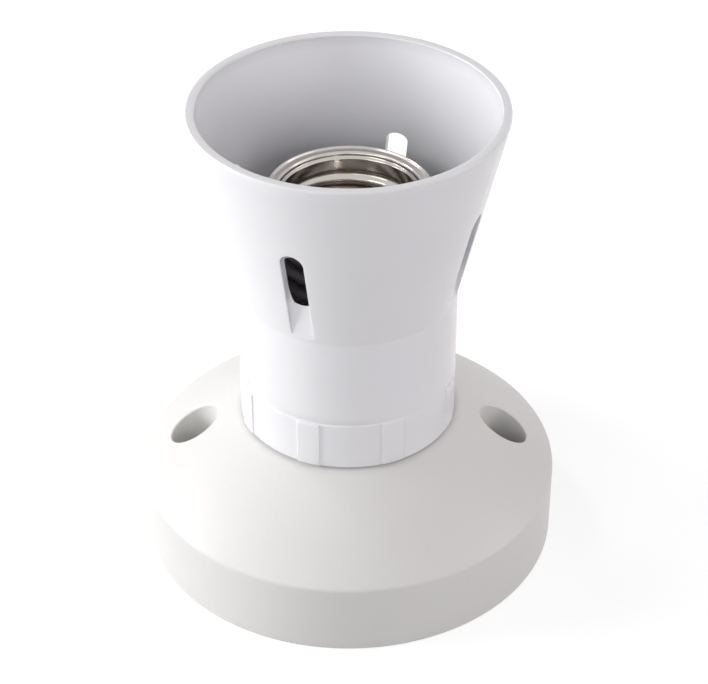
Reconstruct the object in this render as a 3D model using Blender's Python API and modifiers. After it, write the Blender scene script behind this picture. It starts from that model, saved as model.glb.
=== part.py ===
"""Batten lamp holder for a screw-cap lamp, in metres with +Z up.

A round domed base carries a threaded neck. An insulating insert stands in the neck and holds the
screw shell, the sprung centre contact and three rear terminals. A one-piece skirt, a flared shade on
a plain barrel, screws down over the neck. The origin is the centre of the base's rear face, the two
fixing wells lie on the X axis, and angles round the axis count from -Y towards +X.
"""

from math import atan2, cos, hypot, pi, radians, sin, sqrt

import bmesh
import bpy
from mathutils import Matrix, Vector

MM = 0.001

# Clearances
GAP = 0.3 * MM              # between pieces that rest on or in each other
RUNNING_GAP = 0.3 * MM      # between the skirt's land and the neck that it slides over
OVERLAP = 0.4 * MM          # how far a joined shape reaches into its neighbour
PAST = 3.0 * MM             # how far a cutter runs past the face that it opens

# Terminals, which set how wide the insert has to be
TERMINAL_WIDTH = 6.2 * MM
TERMINAL_LENGTH = 15.4 * MM
TERMINAL_THICKNESS = 3.2 * MM
TERMINAL_SIDE_GAP = 0.4 * MM
TERMINAL_BARRIER = 1.0 * MM     # insulating wall between two terminals
TERMINAL_SCREW_SPACING = 9.6 * MM
BARRIER_DEPTH = 7.4 * MM        # from the pockets' ceiling to the barriers' edges

# Insert
INSERT_CORNER_WALL = 1.6 * MM   # outside the pockets' corners
INSERT_HEIGHT = 19.1 * MM
INSERT_FLOOR = 5.0 * MM         # between the shell's seat and the pockets
INSERT_CHAMFER = 0.5 * MM

# Base
BASE_RADIUS = 40.0 * MM
BASE_WALL = 2.2 * MM
BASE_SIDE_HEIGHT = 13.9 * MM
BASE_EDGE_RADIUS = 1.2 * MM
BASE_FOOT_CHAMFER = 0.4 * MM
DOME_EDGE_SLOPE = radians(44.0)
SEAT_HEIGHT = 27.0 * MM
SEAT_MARGIN = 0.1 * MM          # of the seat outside the grip's widest point
NECK_WALL = 1.9 * MM
NECK_HEIGHT = 17.0 * MM         # above the seat
NECK_CHAMFER = 0.5 * MM
SHELF_RISE = 3.0 * MM           # of the insert's shelf above the seat
SHELF_THICKNESS = 4.0 * MM

# Fixing wells
FIXING_INSET = 10.0 * MM        # from the base's outer side to a well's middle
WELL_RADIUS = 4.6 * MM
WELL_WALL = 1.5 * MM
WELL_FLOOR = 3.0 * MM
FIXING_HOLE_RADIUS = 2.2 * MM

# Skirt
LAND_WALL = 2.14 * MM           # where the skirt runs on the neck
SKIRT_WALL = 1.64 * MM
LAND_HEIGHT = 14.7 * MM
LAND_LEAD = 0.5 * MM
CREASE_HEIGHT = 27.8 * MM       # from the skirt's foot to the crease below the cone
CONE_HEIGHT = 37.2 * MM
CONE_SPREAD = 8.63 * MM         # how far the mouth stands out beyond the barrel
SLOT_COUNT = 4
SLOT_TURN = radians(-23.4)
SLOT_WIDTH = 4.35 * MM
SLOT_TOP = 20.9 * MM            # above the crease
SLOT_BACK_GAP = 0.11 * MM       # of the slots' upright back outside the barrel

# Grip at the skirt's foot
BAND_HEIGHT = 9.8 * MM
BAND_STEP = 0.19 * MM
BAND_SHIFT = 0.27 * MM          # the band stands a little to one side of the barrel
BAND_CHAMFER = 0.18 * MM
BAND_LIFT = 0.2 * MM            # of the band's lower edge above the foot
RIB_COUNT = 8
RIB_STEP = 0.3 * MM
RIB_ANGLE = radians(12.3)
RIB_TURN = radians(-21.2)
RIB_INSET = 0.05 * MM           # of a rib's ends inside the band's edges

# Screw shell
THREAD_CREST_RADIUS = 12.15 * MM
THREAD_DEPTH = 1.1 * MM
THREAD_PITCH = 3.63 * MM
THREAD_TOP = 1.2 * MM           # from the rim down to the crest at the back
THREAD_LENGTH = 18.0 * MM
THREAD_FADE = 1.6 * MM
SHELL_SHEET = 0.5 * MM
SHELL_HEIGHT = 25.9 * MM
SHELL_RIM_RADIUS = 15.4 * MM
SHELL_HOLE_RADIUS = 6.6 * MM
SHELL_NOTCH_WIDTH = 7.2 * MM
RIM_ROLL = 0.5 * MM             # how far the rolled rim stands out over the wall before it turns

# Centre contact
CONTACT_SHEET = 0.4 * MM
CONTACT_WIDTH = 4.4 * MM
CONTACT_FOOT = 2.2 * MM         # each way from the rivet
CONTACT_RISE = 3.5 * MM
CONTACT_CROWN = 1.4 * MM        # half length of the crown
CONTACT_END = 3.2 * MM          # from the axis to the free end
CONTACT_DROP = 1.0 * MM         # of the free end below the crown
CROWN_FALL = 0.15 * MM          # of the crown's two ends below its middle

# Fasteners
RIVET_RADIUS = 0.9 * MM
RIVET_HEAD_RADIUS = 1.7 * MM
RIVET_HEAD_HEIGHT = 0.7 * MM
TERMINAL_SCREW_RADIUS = 1.4 * MM
TERMINAL_HEAD_RADIUS = 2.4 * MM
TERMINAL_HEAD_HEIGHT = 1.8 * MM
TERMINAL_SCREW_LENGTH = 5.0 * MM
SHELL_SCREW_RADIUS = 1.15 * MM
SHELL_HEAD_RADIUS = 1.9 * MM
SHELL_HEAD_HEIGHT = 1.1 * MM
SHELL_SCREW_LENGTH = 7.0 * MM
INSERT_SCREW_RADIUS = 1.4 * MM
INSERT_HEAD_RADIUS = 2.7 * MM
INSERT_HEAD_HEIGHT = 1.9 * MM
INSERT_SCREW_LENGTH = 12.5 * MM
DRIVE_SLOT_WIDTH = 0.7 * MM
DRIVE_SLOT_SHARE = 0.5          # of a head's height
HEAD_FACE_SHARE = 0.72          # of a head's radius
HEAD_EDGE_SHARE = 0.55          # of a head's height
SCREW_POINT_SHARE = 0.35        # of a shank's radius
RIVET_TAIL_SHARE = 0.7          # of a rivet's head radius
HOLE_TIP_ROOM = 0.8 * MM        # of a blind hole beyond its screw's tip
TERMINAL_SCREW_TURN = radians(20.0)     # from one column of screws to the next
SHELL_SCREW_TURN = radians(35.0)
INSERT_SCREW_TURN = radians(-25.0)

# How finely round shapes are cut
LARGE_STEPS = 64
SHELL_STEPS = 32
INSERT_STEPS = 40
SMALL_STEPS = 14
WELL_STEPS = 28
THREAD_ROWS = 5                 # to a pitch
DOME_POINTS = 9
EDGE_POINTS = 3
LIP_POINTS = 6
ARCH_POINTS = 8
RIB_STEPS = 3
RIVET_DOME_POINTS = 3
SMOOTH_BELOW = radians(35.0)

# Heights and radii that follow
pocket_width = TERMINAL_WIDTH + 2 * TERMINAL_SIDE_GAP
pocket_length = TERMINAL_LENGTH + 2 * TERMINAL_SIDE_GAP
terminal_pitch = pocket_width + TERMINAL_BARRIER
recess_width = 2 * terminal_pitch + pocket_width
insert_radius = hypot(recess_width / 2, pocket_length / 2) + INSERT_CORNER_WALL
neck_inner = insert_radius + GAP
neck_radius = neck_inner + NECK_WALL
land_radius = neck_radius + RUNNING_GAP
barrel_radius = land_radius + LAND_WALL
barrel_inner = barrel_radius - SKIRT_WALL
band_radius = barrel_radius + BAND_STEP
rib_radius = band_radius + RIB_STEP
seat_radius = rib_radius + BAND_SHIFT + SEAT_MARGIN

shelf_top = SEAT_HEIGHT + SHELF_RISE
shelf_bottom = shelf_top - SHELF_THICKNESS
neck_top = SEAT_HEIGHT + NECK_HEIGHT
insert_bottom = shelf_top + GAP
insert_top = insert_bottom + INSERT_HEIGHT
pocket_ceiling = insert_top - INSERT_FLOOR
terminal_top = pocket_ceiling - GAP
terminal_bottom = terminal_top - TERMINAL_THICKNESS
shell_bottom = insert_top + GAP
shell_top = shell_bottom + SHELL_HEIGHT
foot_height = SEAT_HEIGHT + GAP
crease_height = foot_height + CREASE_HEIGHT
mouth_height = crease_height + CONE_HEIGHT
mouth_radius = barrel_radius + CONE_SPREAD

shell_mean = THREAD_CREST_RADIUS + THREAD_DEPTH / 2
shell_fix_radius = (SHELL_HOLE_RADIUS + THREAD_CREST_RADIUS) / 2
insert_screw_y = (pocket_length / 2 + insert_radius) / 2
contact_root = -terminal_pitch


def clear_scene():
    for obj in list(bpy.data.objects):
        bpy.data.objects.remove(obj, do_unlink=True)


def collection_of(name):
    made = bpy.data.collections.new(name)
    bpy.context.scene.collection.children.link(made)
    return made


def material_of(name, colour, roughness, metallic=0.0):
    made = bpy.data.materials.new(name)
    made.use_nodes = True
    shader = made.node_tree.nodes["Principled BSDF"]
    shader.inputs["Base Color"].default_value = (*colour, 1.0)
    shader.inputs["Roughness"].default_value = roughness
    shader.inputs["Metallic"].default_value = metallic
    made.diffuse_color = (*colour, 1.0)
    return made


def as_part(obj, material):
    """Puts an object with the parts, in its own copy of a material."""
    parts.objects.link(obj)
    own = material.copy()
    own.name = f"{obj.name}_{material.name}"
    obj.data.materials.append(own)
    obj.data.shade_smooth()
    obj.data.set_sharp_from_angle(angle=SMOOTH_BELOW)
    return obj


def as_cutter(obj):
    cutters.objects.link(obj)
    obj.hide_render = True
    obj.display_type = "WIRE"
    return obj


def apply_boolean(target, other, operation):
    modifier = target.modifiers.new(f"{operation.lower()}_{other.name}", "BOOLEAN")
    modifier.object = other
    modifier.operation = operation
    modifier.solver = "EXACT"


def cut(target, *others):
    for other in others:
        apply_boolean(target, as_cutter(other), "DIFFERENCE")


def join(target, *others):
    for other in others:
        apply_boolean(target, as_cutter(other), "UNION")


def object_from(name, bm):
    bmesh.ops.recalc_face_normals(bm, faces=bm.faces)
    if bm.calc_volume(signed=True) < 0:
        bmesh.ops.reverse_faces(bm, faces=bm.faces)
    mesh = bpy.data.meshes.new(name)
    bm.to_mesh(mesh)
    bm.free()
    return bpy.data.objects.new(name, mesh)


def box(name, low, high):
    bm = bmesh.new()
    bmesh.ops.create_cube(bm, size=1.0)
    size = [b - a for a, b in zip(low, high)]
    middle = [(a + b) / 2 for a, b in zip(low, high)]
    bmesh.ops.scale(bm, vec=size, verts=bm.verts)
    bmesh.ops.translate(bm, vec=middle, verts=bm.verts)
    return object_from(name, bm)


def cylinder(name, radius, low, high, x=0.0, y=0.0, steps=SMALL_STEPS):
    bm = bmesh.new()
    middle = Matrix.Translation((x, y, (low + high) / 2))
    bmesh.ops.create_cone(
        bm, cap_ends=True, segments=steps, radius1=radius, radius2=radius, depth=high - low, matrix=middle
    )
    return object_from(name, bm)


def turned(name, profile, steps, x=0.0, y=0.0, closed=False):
    """A profile of (radius, height) points, top to bottom down its outer side, turned about Z."""
    mesh = bpy.data.meshes.new(name)
    points = [(radius, 0.0, height) for radius, height in profile]
    edges = [(i, i + 1) for i in range(len(points) - 1)]
    if closed:
        edges.append((len(points) - 1, 0))
    mesh.from_pydata(points, edges, [])
    obj = bpy.data.objects.new(name, mesh)
    obj.location = (x, y, 0.0)
    screw = obj.modifiers.new("turn", "SCREW")
    screw.axis = "Z"
    screw.steps = steps
    screw.render_steps = steps
    screw.use_merge_vertices = True
    screw.merge_threshold = 0.00001
    return obj


def arc(start, end, turn, count):
    """Points from start to end on an arc that turns clockwise by this angle, both ends included."""
    (x0, y0), (x1, y1) = start, end
    chord = hypot(x1 - x0, y1 - y0)
    heading = atan2(y1 - y0, x1 - x0) + turn / 2
    line = []
    for i in range(count + 1):
        part = turn * i / count
        reach = chord * sin(part / 2) / sin(turn / 2)
        line.append((x0 + reach * cos(heading - part / 2), y0 + reach * sin(heading - part / 2)))
    return line


def round_the_axis(radius, angle):
    """The place at this radius and angle, counted from -Y towards +X."""
    return radius * sin(angle), -radius * cos(angle)


def dome_outer():
    """The dome's outer line from the seat's edge to the upright side, with its rounded edge."""
    normal = pi / 2 - DOME_EDGE_SLOPE
    corner = BASE_RADIUS - BASE_EDGE_RADIUS
    edge = (corner + BASE_EDGE_RADIUS * cos(normal), BASE_SIDE_HEIGHT + BASE_EDGE_RADIUS * sin(normal))
    inner = (seat_radius, SEAT_HEIGHT)
    fall = atan2(inner[1] - edge[1], edge[0] - inner[0])
    line = arc(inner, edge, 2 * (DOME_EDGE_SLOPE - fall), DOME_POINTS)
    return line, arc(edge, (BASE_RADIUS, BASE_SIDE_HEIGHT), normal, EDGE_POINTS)


def dome_inner(outer_line):
    """The dome's inner line, one wall below the outer one, ending where it meets the side's inner face."""
    line = []
    for (x0, y0), (x1, y1) in zip(outer_line, outer_line[1:]):
        length = hypot(x1 - x0, y1 - y0)
        line.append((x0 + BASE_WALL * (y1 - y0) / length, y0 - BASE_WALL * (x1 - x0) / length))
    return [point for point in line if point[0] < BASE_RADIUS - BASE_WALL]


def make_base(material):
    dome, edge = dome_outer()
    outer = [
        (0.0, shelf_top),
        (neck_inner, shelf_top),
        (neck_inner, neck_top),
        (neck_radius - NECK_CHAMFER, neck_top),
        (neck_radius, neck_top - NECK_CHAMFER),
        (neck_radius, SEAT_HEIGHT),
        *dome,
        *edge[1:],
        (BASE_RADIUS, BASE_FOOT_CHAMFER),
        (BASE_RADIUS - BASE_FOOT_CHAMFER, 0.0),
        (0.0, 0.0),
    ]
    base = as_part(turned("base", outer, LARGE_STEPS), material)

    under = dome_inner(dome)
    side_inner = BASE_RADIUS - BASE_WALL
    hollow_profile = [
        (0.0, shelf_bottom),
        (neck_radius, shelf_bottom),
        *under,
        (side_inner, under[-1][1] - (side_inner - under[-1][0])),
        (side_inner, -PAST),
        (0.0, -PAST),
    ]
    hollow = turned("rear_hollow", hollow_profile, LARGE_STEPS)
    above = mouth_height
    for side in (-1, 1):
        x = side * (BASE_RADIUS - FIXING_INSET)
        tube_radius = WELL_RADIUS + WELL_WALL
        cut(hollow, cylinder(f"well_tube_{side}", tube_radius, -2 * PAST, above, x, steps=WELL_STEPS))
        cut(base, cylinder(f"well_{side}", WELL_RADIUS, WELL_FLOOR, above, x, steps=WELL_STEPS))
        cut(base, cylinder(f"fixing_hole_{side}", FIXING_HOLE_RADIUS, -PAST, WELL_FLOOR + PAST, x))

    half = (recess_width / 2, pocket_length / 2)
    through = (shelf_bottom - PAST, shelf_top + PAST)
    cut(base, box("shelf_aperture", (-half[0], -half[1], through[0]), (*half, through[1])))
    for side in (-1, 1):
        y = side * insert_screw_y
        cut(base, cylinder(f"insert_screw_hole_{side}", INSERT_SCREW_RADIUS + GAP, *through, 0.0, y))
    cut(base, hollow)
    return base


def skirt_profile():
    slope = CONE_SPREAD / CONE_HEIGHT
    lean = sqrt(1 + slope * slope)
    lip = SKIRT_WALL / 2
    inner_mouth = mouth_radius - SKIRT_WALL * lean
    shoulder = mouth_height - lip
    outer_mouth = mouth_radius - slope * lip
    middle = (outer_mouth + inner_mouth) / 2
    angles = [pi * i / LIP_POINTS for i in range(LIP_POINTS + 1)]
    lip_line = [(middle + lip * cos(angle), shoulder + lip * sin(angle)) for angle in angles]
    top = LIP_POINTS // 2 + 1
    return [
        *reversed(lip_line[:top]),
        (barrel_radius, crease_height),
        (barrel_radius, foot_height),
        (land_radius + LAND_LEAD, foot_height),
        (land_radius, foot_height + LAND_LEAD),
        (land_radius, foot_height + LAND_HEIGHT),
        (barrel_inner, foot_height + LAND_HEIGHT + (barrel_inner - land_radius)),
        (barrel_inner, crease_height),
        *reversed(lip_line[top:]),
    ]


def ring_profile(inner, outer, low, high):
    return [
        (inner, high),
        (outer - BAND_CHAMFER, high),
        (outer, high - BAND_CHAMFER),
        (outer, low),
        (inner, low),
    ]


def rib(name, angle):
    """One grip rib: the ring's section spun through the rib's own angle."""
    low = foot_height + BAND_LIFT + RIB_INSET
    high = foot_height + BAND_HEIGHT - RIB_INSET
    section = ring_profile(barrel_radius - OVERLAP, rib_radius, low, high)
    start = angle - RIB_ANGLE / 2
    bm = bmesh.new()
    corners = []
    for radius, height in section:
        x, y = round_the_axis(radius, start)
        corners.append(bm.verts.new((x, y, height)))
    face = bm.faces.new(corners)
    bmesh.ops.spin(
        bm, geom=[*face.verts, *face.edges, face], axis=(0, 0, 1), cent=(0, 0, 0), angle=RIB_ANGLE, steps=RIB_STEPS
    )
    bmesh.ops.translate(bm, vec=(-BAND_SHIFT, 0.0, 0.0), verts=bm.verts)
    return object_from(name, bm)


def slot_cutter(name, angle):
    """An upright arch driven in from outside, stopping at the slots' upright back."""
    half = SLOT_WIDTH / 2
    spring_line = crease_height + SLOT_TOP - half
    outline = [(-half, crease_height - PAST), (half, crease_height - PAST)]
    angles = [pi * i / ARCH_POINTS for i in range(ARCH_POINTS + 1)]
    outline += [(half * cos(angle), spring_line + half * sin(angle)) for angle in angles]
    depth = mouth_radius + PAST - barrel_radius - SLOT_BACK_GAP
    curve = bpy.data.curves.new(name, "CURVE")
    curve.dimensions = "2D"
    curve.fill_mode = "BOTH"
    curve.extrude = depth / 2
    spline = curve.splines.new("POLY")
    spline.points.add(len(outline) - 1)
    for point, (across, height) in zip(spline.points, outline):
        point.co = (across, height, 0.0, 1.0)
    spline.use_cyclic_u = True
    guide = bpy.data.objects.new(name + "_outline", curve)
    cutters.objects.link(guide)
    bpy.context.view_layer.update()
    flat = bpy.data.meshes.new_from_object(guide.evaluated_get(bpy.context.evaluated_depsgraph_get()))
    bpy.data.objects.remove(guide, do_unlink=True)
    bm = bmesh.new()
    bm.from_mesh(flat)
    bmesh.ops.remove_doubles(bm, verts=bm.verts, dist=0.000001)
    middle = barrel_radius + SLOT_BACK_GAP + depth / 2
    outward = Vector((*round_the_axis(1.0, angle), 0.0))
    across = Vector((cos(angle), sin(angle), 0.0))
    stand = Matrix((across, (0, 0, 1), outward)).transposed().to_4x4()
    bm.transform(Matrix.Translation(outward * middle) @ stand)
    return object_from(name, bm)


def make_skirt(material):
    skirt = as_part(turned("skirt", skirt_profile(), LARGE_STEPS, closed=True), material)
    low = foot_height + BAND_LIFT
    high = foot_height + BAND_HEIGHT
    band = ring_profile(barrel_radius - OVERLAP - BAND_SHIFT, band_radius, low, high)
    join(skirt, turned("grip_band", band, LARGE_STEPS, x=-BAND_SHIFT, closed=True))
    for i in range(RIB_COUNT):
        join(skirt, rib(f"grip_rib_{i + 1}", RIB_TURN + 2 * pi * i / RIB_COUNT))
    for i in range(SLOT_COUNT):
        cut(skirt, slot_cutter(f"slot_{i + 1}", SLOT_TURN + 2 * pi * i / SLOT_COUNT))
    return skirt


def make_insert(material):
    profile = [
        (0.0, insert_top),
        (insert_radius - INSERT_CHAMFER, insert_top),
        (insert_radius, insert_top - INSERT_CHAMFER),
        (insert_radius, insert_bottom),
        (0.0, insert_bottom),
    ]
    insert = as_part(turned("insert_body", profile, INSERT_STEPS), material)
    barrier_edge = pocket_ceiling - BARRIER_DEPTH
    half_length = pocket_length / 2
    recess_low = (-recess_width / 2, -half_length, insert_bottom - PAST)
    cut(insert, box("recess", recess_low, (recess_width / 2, half_length, barrier_edge)))
    for name, x in terminal_places():
        low = (x - pocket_width / 2, -half_length, barrier_edge - PAST)
        cut(insert, box(f"pocket_{name}", low, (x + pocket_width / 2, half_length, pocket_ceiling)))
        tip = terminal_bottom - GAP + TERMINAL_SCREW_LENGTH + HOLE_TIP_ROOM
        for side in (-1, 1):
            y = side * TERMINAL_SCREW_SPACING / 2
            hole = cylinder(f"hole_{name}_{side}", TERMINAL_SCREW_RADIUS + GAP, terminal_bottom, tip, x, y)
            cut(insert, hole)
    for name, x in (("shell_rivet", shell_fix_radius), ("contact_rivet", contact_root)):
        hole = cylinder(f"hole_{name}", RIVET_RADIUS + GAP, terminal_bottom, insert_top + PAST, x)
        cut(insert, hole)
    shell_tip = shell_bottom + SHELL_SHEET + GAP - SHELL_SCREW_LENGTH - HOLE_TIP_ROOM
    fix_tip = shelf_bottom - GAP + INSERT_SCREW_LENGTH + HOLE_TIP_ROOM
    for side in (-1, 1):
        deep = (shell_tip, insert_top + PAST)
        y = side * shell_fix_radius
        cut(insert, cylinder(f"shell_hole_{side}", SHELL_SCREW_RADIUS + GAP, *deep, 0.0, y))
        deep = (insert_bottom - PAST, fix_tip)
        y = side * insert_screw_y
        cut(insert, cylinder(f"fix_hole_{side}", INSERT_SCREW_RADIUS + GAP, *deep, 0.0, y))
    return insert


def press_thread(bm):
    """Rolls the lamp thread into the shell's tube: one helical wave that fades out at both ends."""
    crest = shell_top - THREAD_TOP
    last = shell_top - THREAD_TOP - THREAD_LENGTH
    for vert in bm.verts:
        radius = hypot(vert.co.x, vert.co.y)
        if radius < THREAD_CREST_RADIUS or radius > shell_mean + SHELL_SHEET + RIM_ROLL:
            continue
        fade = min(1.0, max(0.0, (vert.co.z - last) / THREAD_FADE))
        fade *= min(1.0, max(0.0, (shell_top - SHELL_SHEET - vert.co.z) / THREAD_FADE))
        angle = atan2(vert.co.x, -vert.co.y) - pi
        wave = cos(2 * pi * (crest - vert.co.z) / THREAD_PITCH + angle)
        grown = (radius - fade * wave * THREAD_DEPTH / 2) / radius
        vert.co.x *= grown
        vert.co.y *= grown


def make_shell(material):
    rows = int(round((THREAD_LENGTH + THREAD_TOP) / THREAD_PITCH * THREAD_ROWS))
    top = shell_top - SHELL_SHEET - RIM_ROLL
    bottom = shell_top - THREAD_TOP - THREAD_LENGTH
    heights = [top + (bottom - top) * i / rows for i in range(rows + 1)]
    outside = shell_mean + SHELL_SHEET
    profile = [(SHELL_RIM_RADIUS, shell_top), (SHELL_RIM_RADIUS, shell_top - SHELL_SHEET)]
    profile += [(outside + RIM_ROLL, shell_top - SHELL_SHEET)]
    profile += [(outside, height) for height in heights]
    profile += [(outside, shell_bottom), (SHELL_HOLE_RADIUS, shell_bottom)]
    profile += [(SHELL_HOLE_RADIUS, shell_bottom + SHELL_SHEET), (shell_mean, shell_bottom + SHELL_SHEET)]
    profile += [(shell_mean, height) for height in reversed(heights)]
    profile += [(shell_mean + RIM_ROLL, shell_top)]
    tube = turned("shell_tube", profile, SHELL_STEPS, closed=True)
    cutters.objects.link(tube)
    bpy.context.view_layer.update()
    pressed = bpy.data.meshes.new_from_object(tube.evaluated_get(bpy.context.evaluated_depsgraph_get()))
    bpy.data.objects.remove(tube, do_unlink=True)
    bm = bmesh.new()
    bm.from_mesh(pressed)
    press_thread(bm)
    shell = as_part(object_from("screw_shell", bm), material)
    half = SHELL_NOTCH_WIDTH / 2
    notch_end = THREAD_CREST_RADIUS - SHELL_SHEET
    sheet = (shell_bottom - PAST, shell_bottom + SHELL_SHEET + OVERLAP)
    cut(shell, box("contact_notch", (-notch_end, -half, sheet[0]), (-SHELL_HOLE_RADIUS / 2, half, sheet[1])))
    cut(shell, cylinder("rivet_clearance", RIVET_RADIUS + GAP, *sheet, shell_fix_radius))
    for side in (-1, 1):
        y = side * shell_fix_radius
        cut(shell, cylinder(f"screw_clearance_{side}", SHELL_SCREW_RADIUS + GAP, *sheet, 0.0, y))
    return shell


def make_contact(material):
    """The sprung leaf: a flat foot on the insert, a rising arm and a crown under the lamp's centre."""
    low = insert_top + GAP + CONTACT_SHEET / 2
    crown = low + CONTACT_RISE
    side_line = [
        (contact_root - CONTACT_FOOT, low),
        (contact_root + CONTACT_FOOT, low),
        (-CONTACT_CROWN, crown - CROWN_FALL),
        (0.0, crown),
        (CONTACT_CROWN, crown - CROWN_FALL),
        (CONTACT_END, crown - CONTACT_DROP),
    ]
    bm = bmesh.new()
    rows = []
    for x, z in side_line:
        rows.append([bm.verts.new((x, side * CONTACT_WIDTH / 2, z)) for side in (-1, 1)])
    for (a, b), (c, d) in zip(rows, rows[1:]):
        bm.faces.new((a, c, d, b))
    leaf = as_part(object_from("centre_contact", bm), material)
    sheet = leaf.modifiers.new("sheet", "SOLIDIFY")
    sheet.thickness = CONTACT_SHEET
    sheet.offset = 0.0
    sheet.use_even_offset = True
    hole = cylinder("leaf_hole", RIVET_RADIUS + GAP, low - PAST, low + PAST, contact_root)
    cut(leaf, hole)
    return leaf


def terminal_places():
    return (("live", -terminal_pitch), ("loop", 0.0), ("neutral", terminal_pitch))


def make_terminals(material):
    rivets = {"live": contact_root, "neutral": shell_fix_radius}
    for name, x in terminal_places():
        half = (TERMINAL_WIDTH / 2, TERMINAL_LENGTH / 2)
        low = (x - half[0], -half[1], terminal_bottom)
        block = as_part(box(f"terminal_{name}", low, (x + half[0], half[1], terminal_top)), material)
        through = (terminal_bottom - PAST, terminal_top + PAST)
        for side in (-1, 1):
            y = side * TERMINAL_SCREW_SPACING / 2
            cut(block, cylinder(f"tapping_{name}_{side}", TERMINAL_SCREW_RADIUS + GAP, *through, x, y))
        if name in rivets:
            cut(block, cylinder(f"rivet_way_{name}", RIVET_RADIUS + GAP, *through, rivets[name]))


def make_screw(name, material, seat, facing, sizes, x, y, slot_turn=0.0):
    """A slotted screw. Its head's bearing face is at height seat, and the head faces up or down."""
    shank, head, head_height, length = sizes
    tip = SCREW_POINT_SHARE * shank
    points = [
        (0.0, head_height),
        (HEAD_FACE_SHARE * head, head_height),
        (head, HEAD_EDGE_SHARE * head_height),
        (head, 0.0),
        (shank, 0.0),
        (shank, tip - length),
        (shank - tip, -length),
        (0.0, -length),
    ]
    profile = [(radius, seat + facing * height) for radius, height in points]
    if facing < 0:
        profile.reverse()
    screw = as_part(turned(name, profile, SMALL_STEPS, x, y), material)
    half = (head + PAST, DRIVE_SLOT_WIDTH / 2, DRIVE_SLOT_SHARE * head_height)
    slot = box(f"{name}_slot", [-value for value in half], half)
    stand = Matrix.Translation((x, y, seat + facing * head_height))
    slot.data.transform(stand @ Matrix.Rotation(slot_turn, 4, "Z"))
    cut(screw, slot)
    return screw


def make_rivet(name, material, seat, x):
    """A rivet down through the insert, closed under its terminal."""
    tail = terminal_bottom - GAP
    angles = [pi / 2 * i / RIVET_DOME_POINTS for i in range(RIVET_DOME_POINTS + 1)]
    dome = [(RIVET_HEAD_RADIUS * sin(angle), seat + RIVET_HEAD_HEIGHT * cos(angle)) for angle in angles]
    profile = [
        *dome,
        (RIVET_RADIUS, seat),
        (RIVET_RADIUS, tail),
        (RIVET_HEAD_RADIUS, tail),
        (RIVET_TAIL_SHARE * RIVET_HEAD_RADIUS, tail - RIVET_HEAD_HEIGHT),
        (0.0, tail - RIVET_HEAD_HEIGHT),
    ]
    return as_part(turned(name, profile, SMALL_STEPS, x), material)


def make_fasteners(steel, brass):
    terminal_sizes = (TERMINAL_SCREW_RADIUS, TERMINAL_HEAD_RADIUS, TERMINAL_HEAD_HEIGHT, TERMINAL_SCREW_LENGTH)
    for column, (name, x) in enumerate(terminal_places(), start=-1):
        turn = column * TERMINAL_SCREW_TURN
        for number, side in ((1, -1), (2, 1)):
            y = side * TERMINAL_SCREW_SPACING / 2
            label = f"terminal_screw_{name}_{number}"
            make_screw(label, steel, terminal_bottom - GAP, -1, terminal_sizes, x, y, turn)
    shell_sizes = (SHELL_SCREW_RADIUS, SHELL_HEAD_RADIUS, SHELL_HEAD_HEIGHT, SHELL_SCREW_LENGTH)
    insert_sizes = (INSERT_SCREW_RADIUS, INSERT_HEAD_RADIUS, INSERT_HEAD_HEIGHT, INSERT_SCREW_LENGTH)
    for place, side in (("front", -1), ("back", 1)):
        seat = shell_bottom + SHELL_SHEET + GAP
        y = side * shell_fix_radius
        make_screw(f"shell_screw_{place}", steel, seat, 1, shell_sizes, 0.0, y, SHELL_SCREW_TURN)
        seat = shelf_bottom - GAP
        y = side * insert_screw_y
        make_screw(f"insert_screw_{place}", steel, seat, -1, insert_sizes, 0.0, y, INSERT_SCREW_TURN)
    make_rivet("shell_rivet", brass, shell_bottom + SHELL_SHEET + GAP, shell_fix_radius)
    make_rivet("contact_rivet", brass, insert_top + 2 * GAP + CONTACT_SHEET, contact_root)


clear_scene()
parts = collection_of("batten_lamp_holder")
cutters = collection_of("cutters")

base_white = material_of("matte_white", (0.80, 0.80, 0.79), 0.55)
skirt_white = material_of("gloss_white", (0.82, 0.82, 0.84), 0.25)
insert_white = material_of("insert_white", (0.86, 0.85, 0.82), 0.45)
nickel = material_of("nickel", (0.60, 0.56, 0.52), 0.22, 1.0)
bronze = material_of("bronze", (0.78, 0.52, 0.30), 0.30, 1.0)
brass_metal = material_of("brass", (0.83, 0.66, 0.32), 0.30, 1.0)
steel_metal = material_of("steel", (0.66, 0.66, 0.64), 0.30, 1.0)

make_base(base_white)
make_skirt(skirt_white)
make_insert(insert_white)
make_shell(nickel)
make_contact(bronze)
make_terminals(brass_metal)
make_fasteners(steel_metal, brass_metal)
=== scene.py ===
"""Looks of the batten lamp holder, dressed over its solids. Metres, with +Z up.

Angles round the axis count from -Y towards +X, as on the solids.
"""

from contextlib import contextmanager
from math import asin, atan2, cos, hypot, pi, radians, sin, sqrt

import bmesh
import bpy
from mathutils import Matrix, Vector
from mathutils.geometry import delaunay_2d_cdt


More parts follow.
